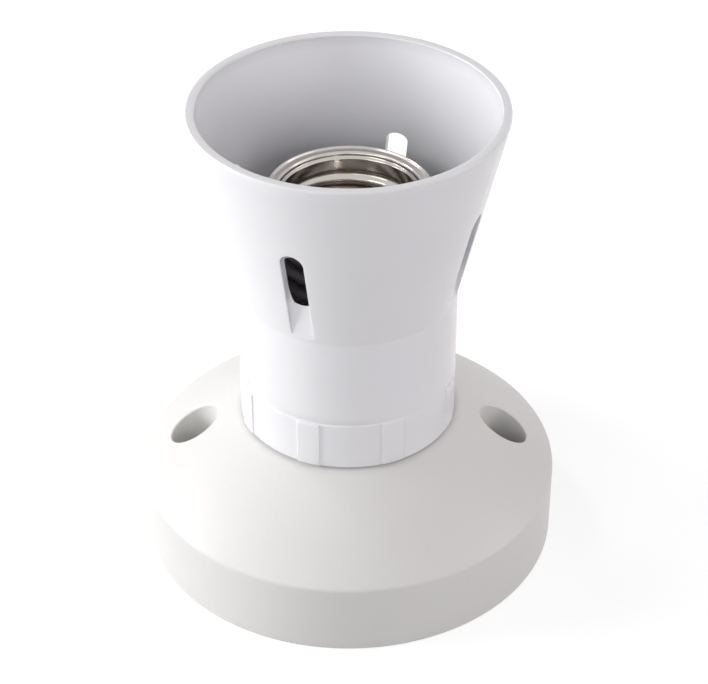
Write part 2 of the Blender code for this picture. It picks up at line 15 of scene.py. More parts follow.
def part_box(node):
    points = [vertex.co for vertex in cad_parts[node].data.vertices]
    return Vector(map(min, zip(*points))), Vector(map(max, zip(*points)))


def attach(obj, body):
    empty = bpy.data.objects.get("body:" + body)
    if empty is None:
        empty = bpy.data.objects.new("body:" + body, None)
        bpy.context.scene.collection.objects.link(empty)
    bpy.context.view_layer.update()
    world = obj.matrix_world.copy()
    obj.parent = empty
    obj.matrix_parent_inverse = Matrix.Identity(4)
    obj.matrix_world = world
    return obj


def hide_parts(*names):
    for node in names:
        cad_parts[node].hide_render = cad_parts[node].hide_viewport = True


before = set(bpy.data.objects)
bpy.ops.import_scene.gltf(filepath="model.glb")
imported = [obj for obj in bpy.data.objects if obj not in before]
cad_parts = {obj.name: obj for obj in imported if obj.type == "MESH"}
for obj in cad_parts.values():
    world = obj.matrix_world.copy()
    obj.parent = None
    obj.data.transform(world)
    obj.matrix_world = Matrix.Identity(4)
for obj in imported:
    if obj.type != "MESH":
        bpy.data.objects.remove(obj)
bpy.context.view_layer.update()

MM = 0.001
GAP = 0.3 * MM
MERGE = 0.0001 * MM
SMOOTH_BELOW = radians(32.0)

# Base
BASE_WALL = 2.2 * MM
BASE_SIDE_HEIGHT = 13.9 * MM
BASE_EDGE_RADIUS = 1.2 * MM
DOME_EDGE_SLOPE = radians(44.0)
FOOT_ROUNDING = 0.4 * MM
SEAT_MARGIN = 0.1 * MM
SEAT_BLEND = 0.9 * MM           # each way from the seat's edge
SHELF_RISE = 3.0 * MM
SHELF_THICKNESS = 4.0 * MM
NECK_WALL = 1.9 * MM
NECK_ROUNDING = 0.4 * MM
NECK_THREAD_DEPTH = 0.8 * MM
NECK_THREAD_PITCH = 3.5 * MM
NECK_THREAD_END = 1.6 * MM      # over which the thread fades at each end
NECK_FILLET = 0.3 * MM
ROOF_ROUNDING = 0.5 * MM
ROOF_STEP = 0.9 * MM            # from the seat's edge to where the roof ends below it
SHELF_SLOPE_WIDTH = 0.4 * MM
SHELF_SLOPE_SHARE = 0.12        # of the height between the shelf and the roof's end
BASE_COLUMNS = 288

# Fixing wells
FIXING_INSET = 10.0 * MM
WELL_RADIUS = 4.6 * MM
WELL_WALL = 1.5 * MM
WELL_FLOOR = 3.0 * MM
WELL_ROUNDING = 0.6 * MM
WELL_FLOOR_ROUNDING = 0.4 * MM
TUBE_FILLET = 0.6 * MM
FIXING_HOLE_RADIUS = 2.2 * MM
HOLE_ROUNDING = 0.25 * MM
WELL_COLUMNS = 80
APERTURE_ROUNDING = 0.6 * MM

# Spacing of the base's points, and margins of its faces with wells in them
FACE_STEP = 0.62 * MM
FACE_INSET = 0.1 * MM
FACE_SPACING = 0.3 * MM
FACE_MARGIN_IN = 1.6 * MM       # of the dome's face past its wells, towards the axis
FACE_MARGIN_OUT = 2.8 * MM
ROOF_MARGIN_IN = 0.5 * MM       # of the roof's face past its tubes
ROOF_MARGIN_OUT = 0.4 * MM
WELL_MARGINS = (0.25 * MM, 0.65 * MM)

# Skirt
LAND_WALL = 2.14 * MM
SKIRT_WALL = 1.64 * MM
LAND_HEIGHT = 14.7 * MM
LAND_LEAD = 0.5 * MM
LEAD_ROUNDING = 0.15 * MM
LAND_FILLET = 0.3 * MM
SKIRT_THREAD_END = 1.4 * MM
CREASE_RISE = 27.8 * MM
CONE_HEIGHT = 37.2 * MM
CONE_SPREAD = 8.63 * MM
CREASE_ROUNDING = 0.22 * MM     # each way from the crease
LIP_WALL = 1.8 * MM
LIP_OUTER_ROUNDING = 0.3 * MM
LIP_INNER_ROUNDING = 0.45 * MM
SKIRT_COLUMNS = 288
CONE_STEP = 0.7 * MM
CONE_FACE_LOW = 0.1 * MM        # margins of the cone's faces below and above the slots
CONE_FACE_HIGH = 2.0 * MM

# Slots in the skirt
SLOT_COUNT = 4
SLOT_TURN = radians(-23.4)
SLOT_HALF = 2.175 * MM
SLOT_TOP = 20.9 * MM
SLOT_TOP_FALL = 1.4 * MM        # of the slot's top towards the inside
SLOT_SPRING_FALL = 0.55 * MM    # of the foot of the arch towards the inside
SLOT_BACK_GAP = 0.11 * MM
SLOT_DRAFT = 0.016              # outward lean of the slot's back, above its foot
SLOT_ROUNDING = 0.16 * MM
SLOT_CORNER = 0.9 * MM          # inner corner between a slot's side and its back
SLOT_CORNER_SHARE = 0.6         # of the slot's depth, where it is too shallow for that corner
SLOT_FADE = 2.5 * MM
SLOT_ROWS = 36
SLOT_CLEARANCE = 0.45 * MM      # of the faces' inner points from a slot's outline

# Grip
BAND_HEIGHT = 9.8 * MM
BAND_STEP = 0.19 * MM
BAND_SHIFT = 0.27 * MM
BAND_ROUNDING = 0.36 * MM
BAND_LIFT = 0.2 * MM
BAND_LINE = 0.07 * MM           # depth of the fine line above the band
BAND_LINE_HEIGHT = 0.2 * MM
RIB_COUNT = 8
RIB_STEP = 0.3 * MM
RIB_ANGLE = radians(12.3)
RIB_TURN = radians(-20.4)
RIB_EDGE = 0.13 * MM            # half of the width over which a rib's side rises
RIB_CLEARANCE = 0.35 * MM       # of the even columns from those at a rib's sides

# Screw shell
THREAD_CREST_RADIUS = 12.15 * MM
THREAD_DEPTH = 1.1 * MM
THREAD_PITCH = 3.63 * MM
THREAD_TOP = 5.95 * MM          # from the shell's top to the first full crest at the back
THREAD_PLAIN = 3.8 * MM         # plain stretch at the mouth
THREAD_LENGTH = 13.3 * MM
THREAD_FADE = 1.3 * MM
SHELL_SHEET = 0.5 * MM
SHELL_HOLE_RADIUS = 6.6 * MM
SHELL_NOTCH_WIDTH = 7.2 * MM
RIM_BEND = 0.55 * MM
RIM_STEP = 0.4 * MM             # by which the wall widens just below the rim
RIM_STEP_HEIGHT = 0.5 * MM
RIM_STEP_DROP = 1.5 * MM        # from the shell's top to the foot of that step
RIM_DROP = 0.3 * MM             # from the turned-up edge to the rim's flat
RIM_EDGE_WIDTH = 0.55 * MM
RIM_INSET = 0.15 * MM
SHELL_SHIFT = 0.2 * MM          # towards +X
SHELL_FLOOR_BEND = 0.4 * MM
NOTCH_ROUNDING = 0.8 * MM
SHELL_COLUMNS = 240
SHELL_STEP = 0.16 * MM

# Insert and terminals
TERMINALS = ("live", "loop", "neutral")
INSERT_COLUMNS = 160
INSERT_CHAMFER = 0.5 * MM
INSERT_FOOT_ROUNDING = 0.2 * MM
INSERT_BEVEL = 0.12 * MM
TERMINAL_BEVEL = 0.3 * MM
BARRIER_HEIGHT = 7.4 * MM
ROOM = 0.4 * MM                 # round the terminals
PAST = 2.0 * MM                 # by which a cutter reaches past what it cuts

# Fasteners
INSERT_SCREWS = ("insert_screw_front", "insert_screw_back")
SHELL_SCREWS = ("shell_screw_front", "shell_screw_back")
TERMINAL_SCREW_SIZE = (1.4 * MM, 1.85 * MM)     # radius of the shank and height of the head
SHELL_SCREW_SIZE = (1.15 * MM, 1.1 * MM)
TERMINAL_SCREW_TURN = radians(20.0)
INSERT_SCREW_TURN = radians(-25.0)
SHELL_SCREW_TURN = radians(35.0)
SCREW_HOLE_RADIUS = 1.7 * MM
SHELL_SCREW_HOLE_RADIUS = 1.45 * MM
SCREW_END_ROOM = 0.8 * MM
SCREW_SPACING = 4.8 * MM        # of a terminal's two screws from its middle
SCREW_COLUMNS = 40
SCREW_STEP = 0.075 * MM
SCREW_THREAD_PITCH = 0.6 * MM
SCREW_THREAD_DEPTH = 0.16 * MM
SCREW_NECK = 0.25 * MM          # plain stretch under the head
SCREW_FADE = 0.5 * MM
SCREW_POINT = 0.5 * MM
SCREW_HEAD_ROUNDING = 0.08 * MM
DRIVE_SLOT_WIDTH = 0.7 * MM
RIVETS = ("shell_rivet", "contact_rivet")
RIVET_COLUMNS = 48
RIVET_SHANK = 0.9 * MM
RIVET_DOME = 0.7 * MM
RIVET_HEAD_ROUNDING = 0.08 * MM
RIVET_TAIL_ROUNDING = 0.3 * MM
RIVET_HOLE_RADIUS = 1.2 * MM

# Sprung contact
LEAF_SHEET = 0.4 * MM
LEAF_BEND_X = -5.8 * MM
LEAF_CROWN_HALF = 1.4 * MM
LEAF_CROWN_FALL = 0.15 * MM
LEAF_TIP_INSET = 0.1 * MM
LEAF_TIP_FALL = 1.0 * MM
LEAF_BEND_SIZES = (0.66 * MM, 0.66 * MM, 0.36 * MM, 0.6 * MM)
LEAF_MARGIN = 0.5 * MM
LEAF_CORNER = 0.35 * MM
LEAF_EDGE = 0.1 * MM
LEAF_HOLE_CLEARANCE = 0.3 * MM

# Studio
SOFTBOX_DISTANCE = 0.8
FLOOR_HALF = 2.5
FLOOR_DROP = 0.02 * MM
FLOOR_COLOUR = (0.45, 0.45, 0.45)
FLOOR_GLOW = 0.68               # under the lamps, and full past them
GLOW_NEAR = 0.25
GLOW_FAR = 0.7
WORLD_COLOUR = (1.0, 0.975, 0.985)
WORLD_LEVEL = 0.2
PLAIN = (1.0, 1.0, 1.0)
NEARLY_PLAIN = (1.0, 0.985, 0.995)
WARM = (1.0, 0.957, 0.965)
CAMERA_PLACE = (0.99 * MM, -321.07 * MM, 273.68 * MM)
CAMERA_TILT = radians(54.12)
CAMERA_SENSOR = 36.0
CAMERA_LENS = 106.34

# Places read off the solids
base_low, base_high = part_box("base")
skirt_low, skirt_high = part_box("skirt")
insert_low, insert_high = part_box("insert_body")
shell_low, shell_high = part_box("screw_shell")

base_radius = base_high.x
neck_top = base_high.z
foot_height = skirt_low.z
mouth_height = skirt_high.z
insert_radius = insert_high.x
seat_height = foot_height - GAP
shelf_top = seat_height + SHELF_RISE
shelf_bottom = shelf_top - SHELF_THICKNESS
neck_inner = insert_radius + GAP
neck_radius = neck_inner + NECK_WALL
land_radius = neck_radius + GAP
barrel_radius = land_radius + LAND_WALL
barrel_inner = barrel_radius - SKIRT_WALL
band_radius = barrel_radius + BAND_STEP
seat_radius = band_radius + RIB_STEP + BAND_SHIFT + SEAT_MARGIN
crease_height = foot_height + CREASE_RISE
cone_slope = CONE_SPREAD / CONE_HEIGHT
fixing_radius = base_radius - FIXING_INSET


def place(radius, angle, height):
    return (radius * sin(angle), -radius * cos(angle), height)


def between(a, b, share):
    return a + (b - a) * share


def eased(share):
    share = min(1.0, max(0.0, share))
    return share * share * (3 - 2 * share)


def spaced(low, high, count):
    """Evenly spaced values from low to high, both included."""
    return [between(low, high, i / count) for i in range(count + 1)]


def corner(first, second, third, size, count=6):
    """Points that round the corner at second, starting and ending size away from it."""
    a, b, c = Vector(first), Vector(second), Vector(third)
    start = b + (a - b).normalized() * size
    end = b + (c - b).normalized() * size
    line = []
    for i in range(count + 1):
        t = i / count
        point = start * (1 - t) ** 2 + b * 2 * t * (1 - t) + end * t ** 2
        line.append((point.x, point.y))
    return line


def solve(gap, low, high):
    """The value between low and high at which gap changes sign, by halving."""
    rising = gap(high) > gap(low)
    for _ in range(40):
        middle = (low + high) / 2
        if (gap(middle) > 0) == rising:
            high = middle
        else:
            low = middle
    return (low + high) / 2


def is_inside(u, v, loop):
    """Whether a flat point lies inside a closed loop of flat points."""
    crossed = False
    for (u0, v0), (u1, v1) in zip(loop, loop[1:] + loop[:1]):
        if (v0 > v) != (v1 > v) and u < u0 + (v - v0) * (u1 - u0) / (v1 - v0):
            crossed = not crossed
    return crossed


class Skin:
    """Points and faces of one closed surface, whose patches share the points along their edges."""

    def __init__(self):
        self.points = []
        self.faces = []

    def grid(self, rows, closed=True):
        """Faces between rows of equally many points. Closed rows join up at their ends."""
        start = len(self.points)
        width = len(rows[0])
        for row in rows:
            self.points += row
        for i in range(len(rows) - 1):
            for j in range(width if closed else width - 1):
                near = start + i * width
                following = (j + 1) % width
                self.faces.append((near + j, near + following, near + width + following, near + width + j))

    def upright(self, loop, low, high):
        """The upright wall over a flat loop."""
        self.grid([[(u, v, height) for u, v in loop] for height in (low, high)])

    def level(self, loops, height):
        """A level face within the first loop and outside the others."""
        self.patch(loops, [], lambda u, v: (u, v, height))

    def patch(self, loops, spots, solid):
        """Triangles within the first flat loop, outside the others and through the spots."""
        flat = [point for loop in loops for point in loop] + spots
        edges = []
        owner = {}
        start = 0
        for number, loop in enumerate(loops):
            for i in range(len(loop)):
                edges.append((start + i, start + (i + 1) % len(loop)))
                owner[start + i] = number
            start += len(loop)
        scaled = [Vector((u / MM, v / MM)) for u, v in flat]
        triangles, origins = delaunay_2d_cdt(scaled, edges, [], 0, 0.00001)[2:4]
        first = len(self.points)
        self.points += [solid(u, v) for u, v in flat]
        for triangle in triangles:
            corners = [origins[i][0] for i in triangle]
            owners = {owner.get(i) for i in corners}
            if len(owners) == 1 and None not in owners:
                number = owners.pop()
                u = sum(flat[i][0] for i in corners) / 3
                v = sum(flat[i][1] for i in corners) / 3
                if is_inside(u, v, loops[number]) == (number > 0):
                    continue
            self.faces.append([first + i for i in corners])

    def build(self, name):
        mesh = bpy.data.meshes.new(name)
        mesh.from_pydata(self.points, [], self.faces)
        with edited(mesh) as bm:
            clean(bm, MERGE)
            bmesh.ops.recalc_face_normals(bm, faces=bm.faces)
            if bm.calc_volume(signed=True) < 0:
                bmesh.ops.reverse_faces(bm, faces=bm.faces)
        smoothed(mesh)
        obj = bpy.data.objects.new(name, mesh)
        bpy.context.scene.collection.objects.link(obj)
        return obj


def thread_rows(angles, heights, end, reach):
    """Rows of a moulded right-handed thread that fades out over each end.

    reach gives a point's radius from the full cut there and from the wave, 0 at the root and 1 at the crest.
    """
    rows = []
    for height in heights:
        fade = eased((height - min(heights)) / end) * eased((max(heights) - height) / end)
        row = []
        for angle in angles:
            wave = 0.5 + 0.5 * cos(2 * pi * height / NECK_THREAD_PITCH - angle)
            row.append(place(reach(NECK_THREAD_DEPTH * fade, wave), angle, height))
        rows.append(row)
    return rows


def on_dome(radius, below=0.0):
    return radius, dome_height(radius, below)


def rings(profile, angles):
    """A turned profile of (radius, height) points as rows of places."""
    return [[place(radius, angle, height) for angle in angles] for radius, height in profile]


def round_of(count):
    return [2 * pi * i / count for i in range(count)]


def rim_of(radius, angles):
    """A flat loop round the axis."""
    return [place(radius, angle, 0.0)[:2] for angle in angles]


def ring_at(x, y, radius, count=32):
    """A flat loop round any other point."""
    return [(x + radius * cos(angle), y + radius * sin(angle)) for angle in round_of(count)]


def middle_of(node):
    low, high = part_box(node)
    return (low + high) / 2


@contextmanager
def edited(mesh):
    """A mesh opened for editing, and written back afterwards."""
    bm = bmesh.new()
    bm.from_mesh(mesh)
    yield bm
    bm.to_mesh(mesh)
    bm.free()


def clean(bm, distance):
    """Merges points that lie this close, and takes out faces without an area."""
    bmesh.ops.remove_doubles(bm, verts=bm.verts, dist=distance)
    bmesh.ops.dissolve_degenerate(bm, edges=bm.edges, dist=distance)


def smoothed(mesh):
    mesh.shade_smooth()
    mesh.set_sharp_from_angle(angle=SMOOTH_BELOW)


def dress(obj, material, slot, body, *nodes):
    """Gives a piece its material and its body, and hides the solids that it stands for."""
    obj.data.materials.clear()
    obj.data.materials.append(material)
    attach(obj, body)
    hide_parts(*nodes)
    return obj


# The dome is an arc between the seat's edge and the rounded upper edge of the side
dome_edge_angle = pi / 2 - DOME_EDGE_SLOPE
dome_edge_radius = base_radius - BASE_EDGE_RADIUS + BASE_EDGE_RADIUS * cos(dome_edge_angle)
dome_edge_height = BASE_SIDE_HEIGHT + BASE_EDGE_RADIUS * sin(dome_edge_angle)
dome_fall = atan2(seat_height - dome_edge_height, dome_edge_radius - seat_radius)
dome_chord = hypot(dome_edge_radius - seat_radius, seat_height - dome_edge_height)
dome_bend = dome_chord / (2 * sin(DOME_EDGE_SLOPE - dome_fall))
dome_start_slope = 2 * dome_fall - DOME_EDGE_SLOPE
dome_middle_radius = seat_radius - dome_bend * sin(dome_start_slope)
dome_middle_height = seat_height - dome_bend * cos(dome_start_slope)


def dome_height(radius, below=0.0):
    """Height of the dome's outer face at a radius, or of the face that lies this far below it."""
    return dome_middle_height + sqrt((dome_bend - below) ** 2 - (radius - dome_middle_radius) ** 2)


def well_ring(side, reach):
    return ring_at(side * fixing_radius, 0.0, reach, WELL_COLUMNS)


def base_face(skin, inner, outer, below, bore, rounding):
    """The dome's outer or inner face between two radii, open round both wells, with rounded edges there."""
    angles = round_of(BASE_COLUMNS)
    loops = [rim_of(outer, angles), rim_of(inner, angles)]
    spots = []
    clear = bore + rounding
    for side in (-1, 1):
        loops.append(well_ring(side, clear))
        for margin in WELL_MARGINS:
            for u, v in well_ring(side, clear + margin):
                if inner + FACE_INSET < hypot(u, v) < outer - FACE_INSET:
                    spots.append((u, v))
    count = round((outer - inner) / FACE_STEP)
    for row, radius in enumerate(spaced(inner, outer, count)[1:-1]):
        stagger = pi / BASE_COLUMNS * (row % 2)
        for u, v in rim_of(radius, [angle + stagger for angle in angles]):
            if hypot(abs(u) - fixing_radius, v) > clear + WELL_MARGINS[-1] + FACE_SPACING:
                spots.append((u, v))
    skin.patch(loops, spots, lambda u, v: (u, v, dome_height(hypot(u, v), below)))


def rounded_box(half_x, half_y, size):
    """A flat rectangle about the axis, with rounded corners."""
    tips = [(half_x, -half_y), (half_x, half_y), (-half_x, half_y), (-half_x, -half_y)]
    loop = []
    for i, tip in enumerate(tips):
        loop += corner(tips[i - 1], tip, tips[(i + 1) % 4], size, 4)
    return loop


def base_neck(skin, angles, face_inner):
    """The neck's inside, top and threaded outside, and the seat, down to the dome's face."""
    inner_top = (neck_inner, neck_top)
    outer_top = (neck_radius, neck_top)
    neck_foot = (neck_radius, seat_height)
    seat_edge = (seat_radius, seat_height)
    dome_start = on_dome(seat_radius + SEAT_BLEND)
    neck = [(neck_inner, height) for height in spaced(shelf_top, neck_top - NECK_ROUNDING, 6)[:-1]]
    neck += corner((neck_inner, shelf_top), inner_top, outer_top, NECK_ROUNDING)
    neck += corner(inner_top, outer_top, neck_foot, NECK_ROUNDING)
    heights = spaced(neck_top - NECK_ROUNDING, seat_height + NECK_THREAD_END, 60)
    thread = thread_rows(angles, heights, NECK_THREAD_END, lambda cut, wave: neck_radius - cut * (1 - wave))
    seat = corner(outer_top, neck_foot, seat_edge, NECK_FILLET, 3)
    seat += corner(neck_foot, seat_edge, dome_start, SEAT_BLEND, 8)
    seat += [on_dome(radius) for radius in spaced(dome_start[0], face_inner, 3)[1:]]
    skin.grid(rings(neck, angles) + thread[1:] + rings(seat, angles))


def base_side(skin, angles, face_outer, under_outer):
    """The rounded upper edge, the side, the foot and the inside of the side, up to the roof's face."""
    side_inner = base_radius - BASE_WALL
    foot_outer = (base_radius, 0.0)
    foot_inner = (side_inner, 0.0)
    roof = on_dome(side_inner, BASE_WALL)
    roof_end = on_dome(under_outer, BASE_WALL)
    line = [on_dome(radius) for radius in spaced(face_outer, dome_edge_radius, 4)[:-1]]
    for angle in spaced(dome_edge_angle, 0.0, 8):
        reach = base_radius - BASE_EDGE_RADIUS * (1 - cos(angle))
        line.append((reach, BASE_SIDE_HEIGHT + BASE_EDGE_RADIUS * sin(angle)))
    line += [(base_radius, height) for height in spaced(BASE_SIDE_HEIGHT, FOOT_ROUNDING, 8)[1:-1]]
    line += corner((base_radius, BASE_SIDE_HEIGHT), foot_outer, foot_inner, FOOT_ROUNDING)
    line += corner(foot_outer, foot_inner, (side_inner, BASE_SIDE_HEIGHT), FOOT_ROUNDING)
    line += [(side_inner, height) for height in spaced(FOOT_ROUNDING, roof[1], 6)[1:-1]]
    line += corner(foot_inner, roof, roof_end, ROOF_ROUNDING)
    skin.grid(rings(line + [roof_end], angles))


def base_wells(skin, tube):
    """Both fixing wells with their holes, and the tubes round them under the dome."""
    well_foot = (WELL_RADIUS, WELL_FLOOR)
    hole_top = (FIXING_HOLE_RADIUS, WELL_FLOOR)
    hole_foot = (FIXING_HOLE_RADIUS, 0.0)
    tube_foot = (tube, 0.0)
    line = corner((WELL_RADIUS, BASE_SIDE_HEIGHT), well_foot, (0.0, WELL_FLOOR), WELL_FLOOR_ROUNDING, 4)[1:]
    line += corner(well_foot, hole_top, hole_foot, HOLE_ROUNDING, 3)
    line += corner(hole_top, hole_foot, tube_foot, HOLE_ROUNDING, 3)
    line += corner(hole_foot, tube_foot, (tube, WELL_FLOOR), HOLE_ROUNDING, 3)
    for side in (-1, 1):
        rows = well_rows(side, WELL_RADIUS, WELL_ROUNDING, 0.0, WELL_FLOOR + WELL_FLOOR_ROUNDING, 10)
        for reach, height in line:
            rows.append([(u, v, height) for u, v in well_ring(side, reach)])
        rows += reversed(well_rows(side, tube, TUBE_FILLET, BASE_WALL, HOLE_ROUNDING, 8)[:-1])
        skin.grid(rows)


def base_shelf(skin, angles, under_inner):
    """The roof's inner part, and the shelf that carries the insert, with its holes."""
    start = on_dome(seat_radius - ROOF_STEP, BASE_WALL)
    line = [on_dome(radius, BASE_WALL) for radius in spaced(under_inner, start[0], 4)]
    line.append((neck_radius + SHELF_SLOPE_WIDTH, between(shelf_bottom, start[1], SHELF_SLOPE_SHARE)))
    line.append((neck_radius, shelf_bottom))
    skin.grid(rings(line, angles))
    terminal_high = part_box("terminal_neutral")[1]
    holes = [rounded_box(terminal_high.x + ROOM, terminal_high.y + ROOM, APERTURE_ROUNDING)]
    for name in INSERT_SCREWS:
        holes.append(ring_at(0.0, middle_of(name).y, SCREW_HOLE_RADIUS))
    for radius, height in ((neck_radius, shelf_bottom), (neck_inner, shelf_top)):
        skin.level([rim_of(radius, angles), *holes], height)
    for hole in holes:
        skin.upright(hole, shelf_bottom, shelf_top)


def well_rows(side, bore, rounding, below, end, count):
    """Rounded edge and upright wall of a well or of its tube, down to the height end."""
    rows = []
    for angle in spaced(0.0, pi / 2, 8):
        reach = bore + rounding - rounding * sin(angle)
        drop = rounding * (1 - cos(angle))
        rows.append([(u, v, dome_height(hypot(u, v), below) - drop) for u, v in well_ring(side, reach)])
    last = rows[-1]
    for share in spaced(0.0, 1.0, count)[1:]:
        rows.append([(u, v, between(z, end, share)) for u, v, z in last])
    return rows


def make_base(material):
    skin = Skin()
    angles = round_of(BASE_COLUMNS)
    tube = WELL_RADIUS + WELL_WALL
    well_reach = WELL_RADIUS + WELL_ROUNDING
    tube_reach = tube + TUBE_FILLET
    face_inner = fixing_radius - well_reach - FACE_MARGIN_IN
    face_outer = fixing_radius + well_reach + FACE_MARGIN_OUT
    under_inner = fixing_radius - tube_reach - ROOF_MARGIN_IN
    under_outer = fixing_radius + tube_reach + ROOF_MARGIN_OUT
    base_neck(skin, angles, face_inner)
    base_face(skin, face_inner, face_outer, 0.0, WELL_RADIUS, WELL_ROUNDING)
    base_side(skin, angles, face_outer, under_outer)
    base_face(skin, under_inner, under_outer, BASE_WALL, tube, TUBE_FILLET)
    base_wells(skin, tube)
    base_shelf(skin, angles, under_inner)
    dress(skin.build("base_moulding"), material, "matte_white", "holder", "base")


def cone_outer(height):
    return barrel_radius + cone_slope * (height - crease_height)


lip_radius = SKIRT_WALL / 2
lip_height = mouth_height - lip_radius
lip_outer = cone_outer(lip_height)
lip_inner = cone_outer(mouth_height) - SKIRT_WALL * sqrt(1 + cone_slope ** 2)
inner_slope = ((lip_outer + lip_inner) / 2 - lip_radius - barrel_inner) / (lip_height - crease_height)


def cone_inner(height):
    return barrel_inner + inner_slope * (height - crease_height)


slot_back = barrel_radius + SLOT_BACK_GAP
slot_spring = crease_height + SLOT_TOP - SLOT_HALF
slot_foot = crease_height + (hypot(slot_back, SLOT_HALF) - barrel_radius) / cone_slope


def slot_back_at(height):
    return slot_back + SLOT_DRAFT * max(0.0, height - slot_foot)


def slot_rounding(height):
    return SLOT_ROUNDING * eased((height - slot_foot) / SLOT_FADE)


def slot_section(part, share, height):
    """A slot's wall in plan as (across, outward): part is side, corner or back, and share runs along it."""
    edge = sqrt((cone_outer(height) - slot_rounding(height)) ** 2 - SLOT_HALF ** 2)
    back = slot_back_at(height)
    bend = min(SLOT_CORNER, SLOT_CORNER_SHARE * max(0.0, edge - back))
    if part == "side":
        return SLOT_HALF, between(edge, back + bend, share)
    if part == "corner":
        turn = share * pi / 2
        return SLOT_HALF - bend * (1 - cos(turn)), back + bend * (1 - sin(turn))
    return (SLOT_HALF - bend) * (1 - share), back


def slot_columns():
    """The wall's upright lines from the slot's edge to its middle, as (part, share, lowest, highest)."""
    edge = sqrt((cone_outer(slot_spring) - slot_rounding(slot_spring)) ** 2 - SLOT_HALF ** 2)
    inner = sqrt(cone_inner(slot_spring) ** 2 - SLOT_HALF ** 2)
    through = (edge - inner) / (edge - slot_back_at(slot_spring) - SLOT_CORNER)
    lines = [("side", share) for share in spaced(0.0, through, 4)]
    open_from = len(lines) - 1
    lines += [("side", share) for share in spaced(through, 1.0, 8)[1:]]
    lines += [("corner", share) for share in spaced(0.0, 1.0, 7)[1:]]
    lines += [("back", share) for share in spaced(0.0, 1.0, 6)[1:]]
    columns = []
    for number, (part, share) in enumerate(lines):

        def outside(height):
            return cone_outer(height) - hypot(*slot_section(part, share, height))

        def inside(height):
            return cone_inner(height) - hypot(*slot_section(part, share, height))

        lowest = slot_foot if part != "back" else solve(outside, crease_height, slot_foot)
        if number <= open_from:
            highest = slot_spring - SLOT_SPRING_FALL * number / open_from
        else:
            highest = solve(inside, slot_foot, slot_spring)
        columns.append((part, share, lowest, highest))
    return columns, open_from


def slot_place(turn, across, outward, height):
    """A point given across and outward of a slot, as a place in space."""
    return (across * cos(turn) + outward * sin(turn), across * sin(turn) - outward * cos(turn), height)


def slot_walls(skin, turn, columns, open_from):
    """The walls of one slot, with its rounded outer edge, and the two outlines that they leave."""
    spring_edge = sqrt((cone_outer(slot_spring) - slot_rounding(slot_spring)) ** 2 - SLOT_HALF ** 2)
    spring_inner = sqrt(cone_inner(slot_spring - SLOT_SPRING_FALL) ** 2 - SLOT_HALF ** 2)
    right = []
    for number, (part, share, lowest, highest) in enumerate(columns):
        line = []
        for height in spaced(lowest, highest, SLOT_ROWS):
            line.append((*slot_section(part, share, height), height))
        if number <= open_from:
            line[-1] = (SLOT_HALF, between(spring_edge, spring_inner, number / open_from), highest)
        right.append(line)
    left = [[(-across, outward, height) for across, outward, height in line] for line in right]
    lines = right + left[-2::-1]
    skin.grid([[slot_place(turn, *point) for point in line] for line in lines], closed=False)

    arch = spaced(0.0, pi, 24)
    inner_arch = []
    rows = []
    for angle in arch:
        across = SLOT_HALF * cos(angle)
        top = slot_spring + SLOT_HALF * sin(angle)
        bottom = slot_spring - SLOT_SPRING_FALL + (SLOT_HALF + SLOT_SPRING_FALL - SLOT_TOP_FALL) * sin(angle)
        edge = sqrt((cone_outer(top) - slot_rounding(top)) ** 2 - across ** 2)
        inner = sqrt(cone_inner(bottom) ** 2 - across ** 2)
        row = []
        for share in spaced(0.0, 1.0, open_from):
            row.append(slot_place(turn, across, between(edge, inner, share), between(top, bottom, share)))
        rows.append(row)
        inner_arch.append((turn + atan2(across, inner), bottom))
    skin.grid(rows, closed=False)

    edge_heights = [height for _, _, height in right[0]]
    strips = []
    for angle in spaced(0.0, pi / 2, 5):
        strip = []
        for height in edge_heights:
            size = slot_rounding(height)
            strip.append((SLOT_HALF + size * (1 - sin(angle)), height, size * (1 - cos(angle))))
        for turned in arch[1:-1]:
            reach = SLOT_HALF + SLOT_ROUNDING * (1 - sin(angle))
            drop = SLOT_ROUNDING * (1 - cos(angle))
            strip.append((reach * cos(turned), slot_spring + reach * sin(turned), drop))
        strip += [(-across, height, drop) for across, height, drop in reversed(strip[:len(edge_heights)])]
        strips.append(strip)
    rows = []
    for strip in strips:
        row = []
        for across, height, drop in strip:
            outward = sqrt((cone_outer(height) - drop) ** 2 - across ** 2)
            row.append(slot_place(turn, across, outward, height))
        rows.append(row)
    skin.grid(rows, closed=False)

    outer = [(turn + asin(across / cone_outer(height)), height) for across, height, _ in strips[0]]
    feet = [line[0] for line in lines if line[0][2] < slot_foot]
    for across, outward, height in reversed(feet):
        outer.append((turn + atan2(across, outward), height))
    inner = [line[-1] for line in lines[open_from:len(lines) - open_from]]
    inner_loop = [(turn + atan2(across, outward), height) for across, outward, height in inner]
    inner_loop += reversed(inner_arch[1:-1])
    return outer, inner_loop


def cone_face(skin, turn, angles, hole, surface, low, high):
    """A quarter of the cone's outer or inner face, open at its slot."""
    unroll = barrel_radius
    quarter = pi / SLOT_COUNT
    here = [angle for angle in angles if abs(angle - turn) <= quarter + 0.00001]
    heights = spaced(low, high, round((high - low) / CONE_STEP))
    outline = [(angle * unroll, low) for angle in here]
    outline += [(here[-1] * unroll, height) for height in heights[1:-1]]
    outline += [(angle * unroll, high) for angle in reversed(here)]
    outline += [(here[0] * unroll, height) for height in reversed(heights[1:-1])]
    hole = [(angle * unroll, height) for angle, height in hole]
    spots = []
    for height in heights[1:-1]:
        for i in range(1, SKIRT_COLUMNS // SLOT_COUNT):
            spot = ((turn - quarter + 2 * pi * i / SKIRT_COLUMNS) * unroll, height)
            if is_inside(*spot, hole):
                continue
            if min(hypot(spot[0] - u, height - v) for u, v in hole) > SLOT_CLEARANCE:
                spots.append(spot)
    skin.patch([outline, hole], spots, lambda u, v: place(surface(v), u / unroll, v))


